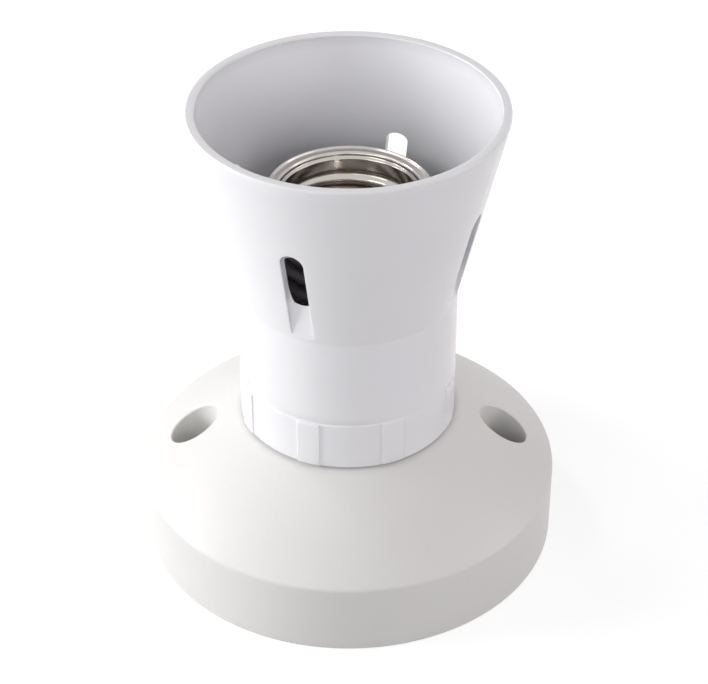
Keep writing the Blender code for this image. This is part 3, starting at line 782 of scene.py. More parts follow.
def band_reach(angle, radius):
    """From the barrel's axis to a circle round the band's own axis, which stands a little to -X."""
    return sqrt(radius ** 2 - (BAND_SHIFT * cos(angle)) ** 2) - BAND_SHIFT * sin(angle)


def rib_edges():
    """Angles of the ribs' two sides as seen from the barrel's axis."""
    edges = []
    radius = band_radius + RIB_STEP
    for i in range(RIB_COUNT):
        for side in (-0.5, 0.5):
            own = RIB_TURN + 2 * pi * i / RIB_COUNT + side * RIB_ANGLE
            edges.append(atan2(radius * sin(own) - BAND_SHIFT, radius * cos(own)))
    return edges


def grip_reach(angle, ribs):
    """The band's radius at an angle, with its ribs."""
    depth = max(rib_depth(angle, start, end) for start, end in ribs)
    return band_reach(angle, band_radius) + RIB_STEP * eased(0.5 + depth * band_radius / (2 * RIB_EDGE))


def rib_depth(angle, start, end):
    """How far inside a rib an angle lies, negative outside it."""
    middle = (start + end) / 2 if end > start else (start + end) / 2 + pi
    off = (angle - middle + pi) % (2 * pi) - pi
    return ((end - start) % (2 * pi)) / 2 - abs(off)


def skirt_angles():
    """Even columns, with more of them where the ribs' sides rise."""
    start = SLOT_TURN - pi / SLOT_COUNT
    every = SKIRT_COLUMNS // SLOT_COUNT
    close = []
    for edge in rib_edges():
        for step in (-1.0, -0.5, 0.0, 0.5, 1.0):
            close.append((edge + step * RIB_EDGE / band_radius - start) % (2 * pi) + start)
    near = RIB_CLEARANCE / band_radius
    kept = []
    for i in range(SKIRT_COLUMNS):
        angle = start + 2 * pi * i / SKIRT_COLUMNS
        if i % every == 0 or min(abs(angle - other) for other in close) > near:
            kept.append(angle)
    return sorted(kept + close)


def grip_rows(angles):
    """Rows of the fine line, the band with its ribs and the band's rounded foot, from the barrel down."""
    edges = rib_edges()
    ribs = list(zip(edges[0::2], edges[1::2]))
    grip = [max(barrel_radius, grip_reach(angle, ribs)) for angle in angles]
    band_top = foot_height + BAND_HEIGHT
    band_foot = foot_height + BAND_LIFT
    rows = []
    for share in (0.75, 0.5, 0.25):
        sunk = BAND_LINE * (1 - abs(share - 0.4) / 0.6)
        row = []
        for angle in angles:
            step = max(0.0, min(1.0, (band_reach(angle, band_radius) - barrel_radius) / BAND_STEP))
            row.append(place(barrel_radius - sunk * step, angle, band_top + share * BAND_LINE_HEIGHT))
        rows.append(row)
    lines = []
    for turned in spaced(0.0, pi / 2, 5):
        lines.append((sin(turned), band_top - BAND_ROUNDING * (1 - cos(turned))))
    for height in spaced(band_top - BAND_ROUNDING, band_foot + BAND_LIFT, 6)[1:]:
        lines.append((1.0, height))
    for turned in spaced(0.0, pi / 2, 4)[1:]:
        lines.append((cos(turned), band_foot + BAND_LIFT * (1 - sin(turned))))
    for share, height in lines:
        reaches = [between(barrel_radius, reach, share) for reach in grip]
        rows.append([place(reach, angle, height) for angle, reach in zip(angles, reaches)])
    return rows


def make_skirt(material):
    skin = Skin()
    angles = skirt_angles()
    low = crease_height + CREASE_ROUNDING + CONE_FACE_LOW
    high = crease_height + SLOT_TOP + CONE_FACE_HIGH

    outside = [(cone_outer(height), height) for height in spaced(high, lip_height, 8)]
    outer_edge = (lip_outer, mouth_height)
    inner_edge = (lip_outer - LIP_WALL, mouth_height)
    inside = [(cone_inner(height), height) for height in spaced(lip_height, high, 8)]
    lip = corner(outside[-1], outer_edge, inner_edge, LIP_OUTER_ROUNDING)
    lip += corner(outer_edge, inner_edge, inside[0], LIP_INNER_ROUNDING)
    skin.grid(rings(outside + lip + inside, angles))

    columns, open_from = slot_columns()
    last = angles + [angles[0] + 2 * pi]
    for i in range(SLOT_COUNT):
        turn = SLOT_TURN + 2 * pi * i / SLOT_COUNT
        outer_hole, inner_hole = slot_walls(skin, turn, columns, open_from)
        cone_face(skin, turn, last, outer_hole, cone_outer, low, high)
        cone_face(skin, turn, last, inner_hole, cone_inner, low, high)

    cone_foot = (cone_outer(low), low)
    barrel_foot = (barrel_radius, foot_height)
    barrel = [cone_foot] + corner(cone_foot, (barrel_radius, crease_height), barrel_foot, CREASE_ROUNDING)
    heights = spaced(crease_height - CREASE_ROUNDING, foot_height + BAND_HEIGHT + BAND_LINE_HEIGHT, 10)
    barrel += [(barrel_radius, height) for height in heights[1:]]
    lead = (land_radius + LAND_LEAD, foot_height)
    land_foot = foot_height + LAND_LEAD
    band_foot = (barrel_radius, foot_height + BAND_LIFT)
    foot = corner(band_foot, barrel_foot, (land_radius, foot_height), 0.9 * BAND_LIFT, 3)
    foot += corner(barrel_foot, lead, (land_radius, land_foot), LEAD_ROUNDING, 3)
    land_top = foot_height + LAND_HEIGHT
    heights = spaced(land_foot, land_top, 54)
    thread = thread_rows(angles, heights, SKIRT_THREAD_END, lambda cut, wave: land_radius + cut * wave)
    top = (barrel_inner, land_top + (barrel_inner - land_radius))
    inner_crease = (barrel_inner, crease_height)
    inner_low = (cone_inner(low), low)
    upper = corner((land_radius, land_top), top, inner_crease, LAND_FILLET, 3)
    upper += corner(top, inner_crease, inner_low, CREASE_ROUNDING) + [inner_low]
    rows = rings(barrel, angles) + grip_rows(angles) + rings(foot, angles) + thread + rings(upper, angles)
    skin.grid(rows)
    dress(skin.build("skirt_moulding"), material, "gloss_white", "skirt_body", "skirt")


def shell_edges():
    """The openings in the shell's floor: its centre hole with the notch, a rivet's and two screws'."""
    half = SHELL_NOTCH_WIDTH / 2
    reach = THREAD_CREST_RADIUS - SHELL_SHEET
    entry = sqrt(SHELL_HOLE_RADIUS ** 2 - half ** 2)
    middle = [(-entry, half)]
    middle += corner((-entry, half), (-reach, half), (-reach, 0.0), NOTCH_ROUNDING, 5)
    middle += corner((-reach, 0.0), (-reach, -half), (-entry, -half), NOTCH_ROUNDING, 5)
    middle += [(-entry, -half)]
    turn = asin(half / SHELL_HOLE_RADIUS)
    for angle in spaced(pi + turn, 3 * pi - turn, 72)[1:-1]:
        middle.append((SHELL_HOLE_RADIUS * cos(angle), SHELL_HOLE_RADIUS * sin(angle)))
    openings = [middle, ring_at(middle_of("shell_rivet").x, 0.0, RIVET_HOLE_RADIUS)]
    for name in SHELL_SCREWS:
        openings.append(ring_at(0.0, middle_of(name).y, SHELL_SCREW_HOLE_RADIUS))
    return openings


def make_shell(bright, outside_painted_shade, floor_painted_shade):
    """The lamp thread rolled in sheet, with an outward rim at its mouth and a pierced floor.

    The side towards the lamp is bright nickel. Its floor is a rougher, darker plate and the hidden outside a
    near-black sheet; both darkenings are painted shade.
    """
    skin = Skin()
    angles = round_of(SHELL_COLUMNS)
    mean = THREAD_CREST_RADIUS + THREAD_DEPTH / 2
    floor = shell_low.z + SHELL_SHEET
    wall_foot = floor + SHELL_FLOOR_BEND
    flat = shell_high.z - RIM_DROP
    wall_top = flat - RIM_BEND
    crest = shell_high.z - THREAD_TOP
    thread_start = shell_high.z - THREAD_PLAIN
    thread_end = crest - THREAD_LENGTH
    step_foot = shell_high.z - RIM_STEP_DROP
    edge = SHELL_SHEET / 2
    edge_radius = shell_high.x - RIM_INSET - edge

    def wall(grow):
        rows = []
        for height in spaced(wall_foot, wall_top, round((wall_top - wall_foot) / SHELL_STEP)):
            fade = eased((height - thread_end) / THREAD_FADE) * eased((thread_start - height) / THREAD_FADE)
            step = RIM_STEP * eased((height - step_foot) / RIM_STEP_HEIGHT)
            row = []
            for angle in angles:
                wave = cos(2 * pi * (crest - height) / THREAD_PITCH + angle - pi)
                row.append(place(mean + step + grow - fade * wave * THREAD_DEPTH / 2, angle, height))
            rows.append(row)
        return rows

    def rim_height(radius):
        return flat + RIM_DROP * eased((radius - edge_radius + RIM_EDGE_WIDTH) / RIM_EDGE_WIDTH)

    plate = mean - SHELL_FLOOR_BEND
    inner_floor = corner((0.0, floor), (mean, floor), (mean, wall_top), SHELL_FLOOR_BEND, 5)[:-1]
    rim_start = mean + RIM_STEP + RIM_BEND

    def rim_bend(size, start, end, count):
        bend = []
        for angle in spaced(start, end, count):
            bend.append((rim_start - size * cos(angle), wall_top + size * sin(angle)))
        return bend

    rim_line = [(radius, rim_height(radius)) for radius in spaced(rim_start, edge_radius, 14)[1:-1]]
    rim = rim_bend(RIM_BEND, 0.0, pi / 2, 8)[1:] + rim_line
    for angle in spaced(0.0, pi, 8):
        rim.append((edge_radius + edge * sin(angle), shell_high.z - edge + edge * cos(angle)))
    rim += [(radius, height - SHELL_SHEET) for radius, height in reversed(rim_line)]
    rim += rim_bend(RIM_BEND - SHELL_SHEET, pi / 2, 0.0, 4)[:-1]
    outer = mean + SHELL_SHEET
    outer_bend = SHELL_FLOOR_BEND + SHELL_SHEET
    outer_floor = corner((outer, wall_top), (outer, shell_low.z), (0.0, shell_low.z), outer_bend, 6)[1:]
    rows = rings(inner_floor, angles) + wall(0.0) + rings(rim, angles)
    skin.grid(rows + wall(SHELL_SHEET)[::-1] + rings(outer_floor, angles))
    openings = shell_edges()
    for height in (shell_low.z, floor):
        skin.level([rim_of(plate, angles), *openings], height)
    for opening in openings:
        skin.upright(opening, shell_low.z, floor)
    skin.points = [(u + SHELL_SHIFT, v, height) for u, v, height in skin.points]
    shell = dress(skin.build("lamp_shell"), bright, "nickel", "holder", "screw_shell")
    shell.data.materials.append(outside_painted_shade)
    shell.data.materials.append(floor_painted_shade)
    # Faces of the hidden outside get the near-black sheet and those of the floor the darker plate: painted
    # shade.
    for face in shell.data.polygons:
        u, v, height = face.center
        away = face.normal.x * u + face.normal.y * v > 0.2 * hypot(u, v)
        if away and hypot(u, v) > THREAD_CREST_RADIUS + edge and height < wall_top:
            face.material_index = 1
        elif height < floor + SHELL_FLOOR_BEND / 2 and hypot(u, v) < plate:
            face.material_index = 2


def prism(name, loop, low, high):
    """An upright closed form over a flat loop, to be carved or to carve with."""
    skin = Skin()
    for height in (low, high):
        skin.level([loop], height)
    skin.upright(loop, low, high)
    return skin.build(name)


def block(name, low, high):
    corners = [(low[0], low[1]), (high[0], low[1]), (high[0], high[1]), (low[0], high[1])]
    return prism(name, corners, low[2], high[2])


def bar(name, x, y, radius, low, high):
    return prism(name, ring_at(x, y, radius, 48), low, high)


def applied(obj):
    """Bakes an object's modifiers into its mesh."""
    bpy.context.view_layer.update()
    evaluated = obj.evaluated_get(bpy.context.evaluated_depsgraph_get())
    mesh = bpy.data.meshes.new_from_object(evaluated)
    obj.modifiers.clear()
    old = obj.data
    obj.data = mesh
    bpy.data.meshes.remove(old)


def carve(obj, *tools):
    for tool in tools:
        step = obj.modifiers.new("carve", "BOOLEAN")
        step.operation = "DIFFERENCE"
        step.solver = "EXACT"
        step.object = tool
        applied(obj)
        bpy.data.objects.remove(tool, do_unlink=True)


def bevel(obj, width, segments=3):
    """Rounds an object's sharp edges a little."""
    with edited(obj.data) as bm:
        bmesh.ops.remove_doubles(bm, verts=bm.verts, dist=MERGE)
        bmesh.ops.dissolve_limit(bm, angle_limit=radians(1.0), verts=bm.verts, edges=bm.edges)
    step = obj.modifiers.new("bevel", "BEVEL")
    step.width = width
    step.segments = segments
    step.limit_method = "ANGLE"
    step.angle_limit = SMOOTH_BELOW
    step.harden_normals = False
    applied(obj)
    with edited(obj.data) as bm:
        clean(bm, 10 * MERGE)
    smoothed(obj.data)


def make_insert(material):
    skin = Skin()
    angles = round_of(INSERT_COLUMNS)
    top_edge = (insert_radius, insert_high.z)
    foot_edge = (insert_radius, insert_low.z)
    line = corner((0.0, insert_high.z), top_edge, foot_edge, INSERT_CHAMFER, 5)
    line += corner(top_edge, foot_edge, (0.0, insert_low.z), INSERT_FOOT_ROUNDING, 3)
    skin.grid(rings(line, angles))
    for radius, height in (line[0], line[-1]):
        skin.level([rim_of(radius, angles)], height)
    insert = skin.build("insert_moulding")
    boxes = [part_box(f"terminal_{name}") for name in TERMINALS]
    ceiling = boxes[0][1].z + GAP
    barrier_edge = ceiling - BARRIER_HEIGHT
    below = insert_low.z - PAST
    above = insert_high.z + PAST
    half_length = boxes[0][1].y + ROOM
    half_width = boxes[-1][1].x + ROOM
    tools = [block("recess", (-half_width, -half_length, below), (half_width, half_length, barrier_edge))]
    for low, high in boxes:
        start = (low.x - ROOM, -half_length, barrier_edge - PAST)
        tools.append(block("pocket", start, (high.x + ROOM, half_length, ceiling)))
        for y in (-SCREW_SPACING, SCREW_SPACING):
            x = (low.x + high.x) / 2
            tools.append(bar("tip_hole", x, y, SCREW_HOLE_RADIUS, ceiling - PAST, ceiling + PAST))
    for name in RIVETS:
        tools.append(bar("rivet_hole", middle_of(name).x, 0.0, RIVET_HOLE_RADIUS, ceiling - PAST, above))
    for name in SHELL_SCREWS:
        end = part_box(name)[0].z - SCREW_END_ROOM
        tools.append(bar("shell_hole", 0.0, middle_of(name).y, SHELL_SCREW_HOLE_RADIUS, end, above))
    for name in INSERT_SCREWS:
        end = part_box(name)[1].z + SCREW_END_ROOM
        tools.append(bar("fix_hole", 0.0, middle_of(name).y, SCREW_HOLE_RADIUS, below, end))
    carve(insert, *tools)
    bevel(insert, INSERT_BEVEL, 2)
    dress(insert, material, "insert_white", "holder", "insert_body")


def make_terminals(material):
    for name in TERMINALS:
        node = f"terminal_{name}"
        low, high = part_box(node)
        bores = [(middle_of(node).x, y, SCREW_HOLE_RADIUS) for y in (-SCREW_SPACING, SCREW_SPACING)]
        for rivet in RIVETS:
            if low.x < middle_of(rivet).x < high.x:
                bores.append((middle_of(rivet).x, 0.0, RIVET_HOLE_RADIUS))
        piece = block(f"{node}_block", low, high)
        carve(piece, *[bar("bore", x, y, radius, low.z - PAST, high.z + PAST) for x, y, radius in bores])
        bevel(piece, TERMINAL_BEVEL)
        dress(piece, material, "brass", "holder", node)


def make_screw(node, material, facing, size, turn):
    """A slotted cheese-head screw with a cut thread, in the place of its solid."""
    low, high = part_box(node)
    middle = middle_of(node)
    head = (high.x - low.x) / 2
    shank, head_height = size
    length = high.z - low.z - head_height
    skin = Skin()
    angles = round_of(SCREW_COLUMNS)
    head_edge = (head, head_height)
    head_foot = (head, 0.0)
    profile = [(0.3 * head, head_height)]
    profile += corner((0.0, head_height), head_edge, head_foot, 0.35 * head_height, 5)
    profile += corner(head_edge, head_foot, (shank, 0.0), SCREW_HEAD_ROUNDING, 2)
    profile += [(shank, 0.0), (shank, -SCREW_NECK)]
    rows = rings(profile, angles)
    thread_length = length - SCREW_NECK - SCREW_POINT
    count = round(thread_length / SCREW_STEP)
    for height in spaced(-SCREW_NECK, SCREW_POINT - length, count)[1:]:
        fade = eased((-SCREW_NECK - height) / SCREW_FADE)
        row = []
        for angle in angles:
            wave = (2 * pi * height / SCREW_THREAD_PITCH - facing * angle) / (2 * pi) % 1.0
            cut = SCREW_THREAD_DEPTH * fade * (1 - abs(2 * wave - 1))
            row.append(place(shank - cut, angle, height))
        rows.append(row)
    skin.grid(rows + rings([(shank - 0.5 * SCREW_POINT, -length), (0.3 * shank, -length)], angles))
    for radius, height in ((0.3 * head, head_height), (0.3 * shank, -length)):
        skin.level([rim_of(radius, angles)], height)
    screw = skin.build(f"{node}_turned")
    half = DRIVE_SLOT_WIDTH / 2
    slot = block("slot", (-2 * head, -half, 0.5 * head_height), (2 * head, half, 2 * head_height))
    slot.data.transform(Matrix.Rotation(turn, 4, "Z"))
    carve(screw, slot)
    stand = Matrix.Translation((middle.x, middle.y, low.z + length))
    if facing < 0:
        stand = Matrix.Translation((middle.x, middle.y, high.z - length)) @ Matrix.Rotation(pi, 4, "X")
    screw.data.transform(stand)
    smoothed(screw.data)
    dress(screw, material, "steel", "holder", node)


def make_screws(material):
    for column, name in enumerate(TERMINALS, start=-1):
        for number in (1, 2):
            node = f"terminal_screw_{name}_{number}"
            make_screw(node, material, -1, TERMINAL_SCREW_SIZE, column * TERMINAL_SCREW_TURN)
    for insert_screw, shell_screw in zip(INSERT_SCREWS, SHELL_SCREWS):
        make_screw(insert_screw, material, -1, TERMINAL_SCREW_SIZE, INSERT_SCREW_TURN)
        make_screw(shell_screw, material, 1, SHELL_SCREW_SIZE, SHELL_SCREW_TURN)


def make_rivets(material):
    """Rivets through the insert, domed above and closed over a flat tail below."""
    angles = round_of(RIVET_COLUMNS)
    for node in RIVETS:
        low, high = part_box(node)
        head = (high.x - low.x) / 2
        seat = high.z - RIVET_DOME
        tail = low.z + RIVET_DOME
        profile = [(0.08 * head, high.z)]
        profile += [(head * sin(angle), seat + RIVET_DOME * cos(angle)) for angle in spaced(0.1, 1.35, 9)]
        dome_end = (0.99 * head, seat + 0.2 * RIVET_DOME)
        profile += corner(dome_end, (head, seat), (RIVET_SHANK, seat), RIVET_HEAD_ROUNDING, 2)
        profile += [(RIVET_SHANK, seat), (RIVET_SHANK, tail), (head, tail)]
        profile += corner((head, tail), (0.72 * head, low.z), (0.0, low.z), RIVET_TAIL_ROUNDING, 4)
        profile.append((0.08 * head, low.z))
        skin = Skin()
        skin.grid(rings(profile, angles))
        for radius, height in (profile[0], profile[-1]):
            skin.level([rim_of(radius, angles)], height)
        rivet = skin.build(f"{node}_turned")
        rivet.data.transform(Matrix.Translation((middle_of(node).x, 0.0, 0.0)))
        dress(rivet, material, "brass", "holder", node)


def make_leaf(material):
    """The sprung contact, bent from one strip with a rounded tip."""
    low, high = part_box("centre_contact")
    floor = low.z + LEAF_SHEET / 2
    crown = high.z - LEAF_SHEET / 2
    shoulder = crown - LEAF_CROWN_FALL
    bends = [(low.x, floor), (LEAF_BEND_X, floor), (-LEAF_CROWN_HALF, shoulder), (0.0, crown)]
    bends += [(LEAF_CROWN_HALF, shoulder), (high.x - LEAF_TIP_INSET, crown - LEAF_TIP_FALL)]
    line = [bends[0]]
    for before, here, after, size in zip(bends, bends[1:], bends[2:], LEAF_BEND_SIZES):
        line += corner(before, here, after, size, 6)
    line.append(bends[-1])
    runs = [0.0]
    for (x0, z0), (x1, z1) in zip(line, line[1:]):
        runs.append(runs[-1] + hypot(x1 - x0, z1 - z0))
    total = runs[-1]
    half = (high.y - low.y) / 2

    def bent(u, v, off):
        """The place of a point of the flat strip, off to one side of its middle plane."""
        number = 0
        while number < len(runs) - 2 and u > runs[number + 1]:
            number += 1
        (x0, z0), (x1, z1) = line[number], line[number + 1]
        run = runs[number + 1] - runs[number]
        along = ((x1 - x0) / run, (z1 - z0) / run)
        share = u - runs[number]
        return (x0 + along[0] * share - along[1] * off, v, z0 + along[1] * share + along[0] * off)

    def outline(inset):
        wide = half - inset
        tip = total - inset
        edge = [(u, -wide) for u in spaced(LEAF_MARGIN, total - half, 30)]
        edge += [(tip - wide + wide * sin(a), -wide * cos(a)) for a in spaced(0.0, pi, 20)[1:-1]]
        edge += [(u, wide) for u in spaced(total - half, LEAF_MARGIN, 30)]
        edge += corner((LEAF_MARGIN, wide), (inset, wide), (inset, 0.0), LEAF_CORNER, 3)
        edge += corner((inset, 0.0), (inset, -wide), (LEAF_MARGIN, -wide), LEAF_CORNER, 3)
        return edge

    hole_at = middle_of("contact_rivet").x - low.x
    hole = ring_at(hole_at, 0.0, RIVET_HOLE_RADIUS)
    spots = []
    for u in runs[1:-1]:
        for v in spaced(LEAF_MARGIN - half, half - LEAF_MARGIN, 6):
            clear = hypot(u - hole_at, v) > RIVET_HOLE_RADIUS + LEAF_HOLE_CLEARANCE
            if clear and LEAF_MARGIN - LEAF_EDGE < u < total - half:
                spots.append((u, v))
    skin = Skin()
    face = LEAF_SHEET / 2
    side = face - LEAF_EDGE
    for off in (-face, face):
        skin.patch([outline(LEAF_EDGE), hole], spots, lambda u, v: bent(u, v, off))
    edge_lines = ((LEAF_EDGE, -face), (0.0, -side), (0.0, side), (LEAF_EDGE, face))
    skin.grid([[bent(u, v, off) for u, v in outline(inset)] for inset, off in edge_lines])
    skin.grid([[bent(u, v, off) for u, v in hole] for off in (-face, face)])
    dress(skin.build("contact_leaf"), material, "bronze", "contact_body", "centre_contact")


def ranged(tree, source, low, high, start, end):
    """A value that goes from low to high while its source goes from start to end."""
    node = tree.nodes.new("ShaderNodeMapRange")
    for socket, value in zip(("To Min", "To Max", "From Min", "From Max"), (low, high, start, end)):
        node.inputs[socket].default_value = value
    tree.links.new(source, node.inputs["Value"])
    return node.outputs["Result"]


def calculated(tree, operation, first, second):
    node = tree.nodes.new("ShaderNodeMath")
    node.operation = operation
    tree.links.new(first, node.inputs[0])
    tree.links.new(second, node.inputs[1])
    return node.outputs["Value"]


class Shader:
    """A material's node tree around one principled shader."""

    def __init__(self, name, colour, roughness, metallic=0.0):
        self.material = bpy.data.materials.new(name)
        self.material.use_nodes = True
        self.tree = self.material.node_tree
        self.shader = self.tree.nodes["Principled BSDF"]
        self.shader.inputs["Base Color"].default_value = (*colour, 1.0)
        self.shader.inputs["Roughness"].default_value = roughness
        self.shader.inputs["Metallic"].default_value = metallic
        self.colour = colour
        self.where = self.tree.nodes.new("ShaderNodeTexCoord").outputs["Object"]

    def noise(self, scale, detail=3.0, stretch=(1.0, 1.0, 1.0)):
        mapping = self.tree.nodes.new("ShaderNodeMapping")
        mapping.inputs["Scale"].default_value = stretch
        self.tree.links.new(self.where, mapping.inputs["Vector"])
        texture = self.tree.nodes.new("ShaderNodeTexNoise")
        texture.inputs["Scale"].default_value = scale
        texture.inputs["Detail"].default_value = detail
        self.tree.links.new(mapping.outputs["Vector"], texture.inputs["Vector"])
        return texture.outputs["Fac"]

    def tint(self, source, other, start=0.3, end=0.7):
        """Shifts the colour towards another where the texture is high."""
        mix = self.tree.nodes.new("ShaderNodeMix")
        mix.data_type = "RGBA"
        self.tree.links.new(ranged(self.tree, source, 0.0, 1.0, start, end), mix.inputs["Factor"])
        current = self.shader.inputs["Base Color"]
        if current.is_linked:
            self.tree.links.new(current.links[0].from_socket, mix.inputs["A"])
        else:
            mix.inputs["A"].default_value = (*self.colour, 1.0)
        mix.inputs["B"].default_value = (*other, 1.0)
        self.tree.links.new(mix.outputs["Result"], current)

    def rough(self, source, low, high):
        self.tree.links.new(ranged(self.tree, source, low, high, 0.3, 0.7), self.shader.inputs["Roughness"])

    def bump(self, source, depth):
        node = self.tree.nodes.new("ShaderNodeBump")
        node.inputs["Distance"].default_value = depth
        current = self.shader.inputs["Normal"]
        if current.is_linked:
            self.tree.links.new(current.links[0].from_socket, node.inputs["Normal"])
        self.tree.links.new(source, node.inputs["Height"])
        self.tree.links.new(node.outputs["Normal"], current)


def matte_white():
    """Satin moulded plastic, a slightly warm grey-white with a fine sparked grain."""
    s = Shader("matte_white_moulding", (0.72, 0.715, 0.70), 0.46)
    s.tint(s.noise(90.0, 4.0), (0.708, 0.70, 0.684))
    s.tint(s.noise(2600.0, 2.0), (0.735, 0.73, 0.717), 0.5, 0.8)
    s.rough(s.noise(700.0, 4.0), 0.40, 0.52)
    s.bump(s.noise(3800.0, 2.0), 0.012 * MM)
    s.bump(s.noise(260.0, 2.0), 0.02 * MM)
    return s.material


def gloss_white():
    """Glossy moulded plastic, a slightly cool white whose surface waves a little."""
    s = Shader("gloss_white_moulding", (0.815, 0.815, 0.84), 0.22)
    s.tint(s.noise(70.0, 3.0), (0.80, 0.80, 0.828))
    s.rough(s.noise(420.0, 5.0), 0.17, 0.27)
    s.bump(s.noise(180.0, 2.0), 0.03 * MM)
    s.bump(s.noise(5200.0, 2.0), 0.002 * MM)
    return s.material


def insert_white():
    """Pressed insulating moulding, dull and faintly speckled."""
    s = Shader("insert_pressing", (0.85, 0.84, 0.81), 0.5)
    s.tint(s.noise(3200.0, 2.0), (0.78, 0.765, 0.73), 0.58, 0.8)
    s.tint(s.noise(110.0, 3.0), (0.83, 0.82, 0.785))
    s.rough(s.noise(900.0, 4.0), 0.42, 0.6)
    s.bump(s.noise(3000.0, 3.0), 0.02 * MM)
    return s.material


def metal(name, colour, dulled, low, high, draw, marks=0.0012 * MM):
    """Plated or bare metal with fine drawing marks and slightly dulled patches."""
    s = Shader(name, colour, (low + high) / 2, 1.0)
    s.tint(s.noise(120.0, 3.0), dulled, 0.5, 0.9)
    s.rough(s.noise(600.0, 2.0, draw), low, high)
    s.bump(s.noise(900.0, 3.0, draw), marks)
    return s.material


def softbox(name, azimuth, elevation, size, power, tint=PLAIN):
    """A square lamp that faces the object, at a direction counted as the angles round the axis are."""
    aim = Vector((0.0, 0.0, 40.0 * MM))
    turn = radians(azimuth)
    rise = radians(elevation)
    lamp = bpy.data.lights.new(name, "AREA")
    lamp.size = size
    lamp.energy = power
    lamp.color = tint
    obj = bpy.data.objects.new(name, lamp)
    obj.location = aim + SOFTBOX_DISTANCE * Vector((sin(turn) * cos(rise), -cos(turn) * cos(rise), sin(rise)))
    obj.rotation_euler = (aim - obj.location).to_track_quat("-Z", "Y").to_euler()
    bpy.context.scene.collection.objects.link(obj)


def seen_rays(tree):
    """1 where a ray comes from the camera, a mirror or glass, which then see a plain white."""
    path = tree.nodes.new("ShaderNodeLightPath").outputs
    seen = path["Is Camera Ray"]
    for other in ("Is Glossy Ray", "Is Transmission Ray"):
        seen = calculated(tree, "MAXIMUM", seen, path[other])
    return seen


def make_floor():
    """A pale floor that shows white and keeps the object's shadow. Past the lamps' reach it glows fully."""
    mesh = bpy.data.meshes.new("floor")
    with edited(mesh) as bm:
        bmesh.ops.create_grid(bm, x_segments=8, y_segments=8, size=FLOOR_HALF)
    floor = bpy.data.objects.new("floor", mesh)
    floor.location.z = base_low.z - FLOOR_DROP
    bpy.context.scene.collection.objects.link(floor)
    material = bpy.data.materials.new("floor_paper")
    material.use_nodes = True
    tree = material.node_tree
    shader = tree.nodes["Principled BSDF"]
    shader.inputs["Base Color"].default_value = (*FLOOR_COLOUR, 1.0)
    shader.inputs["Roughness"].default_value = 0.9
    shader.inputs["Specular IOR Level"].default_value = 0.1
    glow = tree.nodes.new("ShaderNodeEmission")
    away = tree.nodes.new("ShaderNodeVectorMath")
    away.operation = "LENGTH"
    tree.links.new(tree.nodes.new("ShaderNodeTexCoord").outputs["Object"], away.inputs[0])
    rise = ranged(tree, away.outputs["Value"], FLOOR_GLOW, 1.0, GLOW_NEAR, GLOW_FAR)
    tree.links.new(calculated(tree, "MULTIPLY", seen_rays(tree), rise), glow.inputs["Strength"])
    both = tree.nodes.new("ShaderNodeAddShader")
    tree.links.new(shader.outputs["BSDF"], both.inputs[0])
    tree.links.new(glow.outputs["Emission"], both.inputs[1])
    tree.links.new(both.outputs["Shader"], tree.nodes["Material Output"].inputs["Surface"])
    mesh.materials.append(material)


def make_world():
    world = bpy.data.worlds.new("studio")
    bpy.context.scene.world = world
    world.use_nodes = True
    tree = world.node_tree
    soft = tree.nodes["Background"]
    white = tree.nodes.new("ShaderNodeBackground")
    for background, colour, level in ((soft, WORLD_COLOUR, WORLD_LEVEL), (white, PLAIN, 1.0)):
        background.inputs["Color"].default_value = (*colour, 1.0)
        background.inputs["Strength"].default_value = level
    mix = tree.nodes.new("ShaderNodeMixShader")
    tree.links.new(seen_rays(tree), mix.inputs["Fac"])
    tree.links.new(soft.outputs["Background"], mix.inputs[1])
    tree.links.new(white.outputs["Background"], mix.inputs[2])
    tree.links.new(mix.outputs["Shader"], tree.nodes["World Output"].inputs["Surface"])


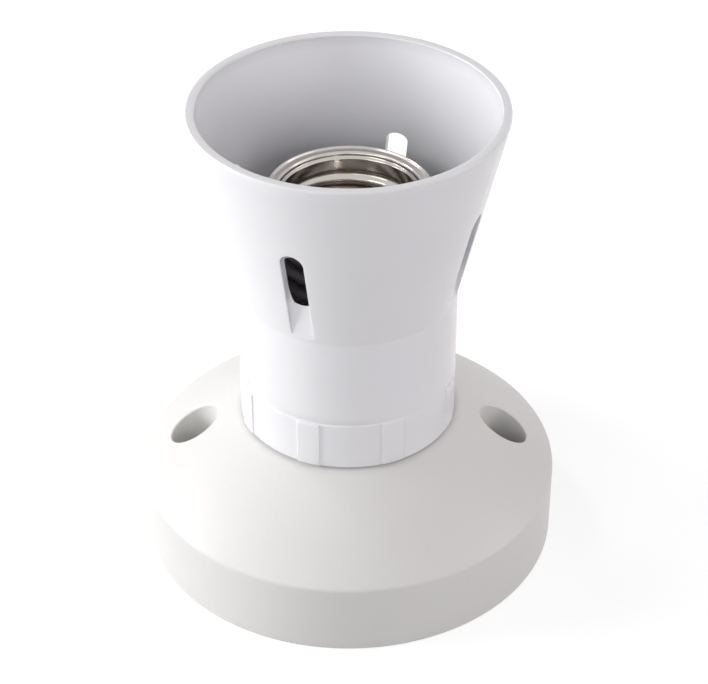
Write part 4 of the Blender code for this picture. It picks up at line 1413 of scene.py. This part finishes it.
def make_camera():
    camera = bpy.data.cameras.new("photo_camera")
    camera.sensor_width = CAMERA_SENSOR
    camera.lens = CAMERA_LENS
    camera.clip_start = 0.01
    camera.clip_end = 20.0
    obj = bpy.data.objects.new("photo_camera", camera)
    obj.location = CAMERA_PLACE
    obj.rotation_euler = (CAMERA_TILT, 0.0, 0.0)
    bpy.context.scene.collection.objects.link(obj)
    bpy.context.scene.camera = obj


base_white = matte_white()
skirt_white = gloss_white()
nickel = metal(
    "nickel_plate", (0.54, 0.505, 0.475), (0.46, 0.43, 0.40), 0.11, 0.17, (0.1, 0.1, 6.0), 0.0003 * MM
)
# Darker plate on the shell's floor: painted shade deep in the shell, with a rougher finish.
dull_floor_painted_shade = metal("floor_plate_painted_shade", (0.30, 0.28, 0.26), (0.23, 0.21, 0.19), 0.34, 0.5, (1.0, 1.0, 1.0))
# Near-black sheet on the shell's hidden outside: painted shade, where the plated sheet only lies in shadow.
painted_shade_sheet = metal(
    "sheet_painted_shade", (0.19, 0.18, 0.19), (0.13, 0.12, 0.13), 0.24, 0.36, (0.1, 0.1, 8.0), 0.0004 * MM
)
bronze = metal("spring_bronze", (0.78, 0.52, 0.30), (0.62, 0.39, 0.21), 0.2, 0.34, (0.5, 8.0, 0.5))
brass = metal("bare_brass", (0.83, 0.66, 0.32), (0.66, 0.5, 0.22), 0.22, 0.38, (8.0, 0.5, 0.5))
steel = metal("zinc_plate", (0.66, 0.66, 0.64), (0.54, 0.54, 0.53), 0.22, 0.36, (0.3, 0.3, 6.0))

make_base(base_white)
make_skirt(skirt_white)
make_shell(nickel, painted_shade_sheet, dull_floor_painted_shade)
make_insert(insert_white())
make_terminals(brass)
make_screws(steel)
make_rivets(brass)
make_leaf(bronze)

bpy.context.scene.view_settings.view_transform = "Standard"
make_floor()
make_world()
make_camera()
softbox("key_left", -90.0, 15.0, 0.45, 5.5)
softbox("front_left", -45.0, 30.0, 0.35, 0.9)
softbox("front", -15.0, 22.0, 0.35, 1.05, NEARLY_PLAIN)
softbox("front_right", 25.0, 22.0, 0.3, 0.55, NEARLY_PLAIN)
softbox("fill_right", 80.0, 15.0, 0.45, 2.15, WARM)
softbox("rim_left", -131.0, 48.0, 0.12, 0.6)
softbox("high_left", -100.0, 62.0, 0.3, 0.38)
softbox("high_right", 98.0, 55.0, 0.3, 0.17, WARM)
softbox("rim_right", 106.0, 45.0, 0.16, 0.17, WARM)
softbox("back_left", -148.0, 20.0, 0.3, 0.62, WARM)
softbox("back_right", 148.0, 20.0, 0.3, 0.62, WARM)
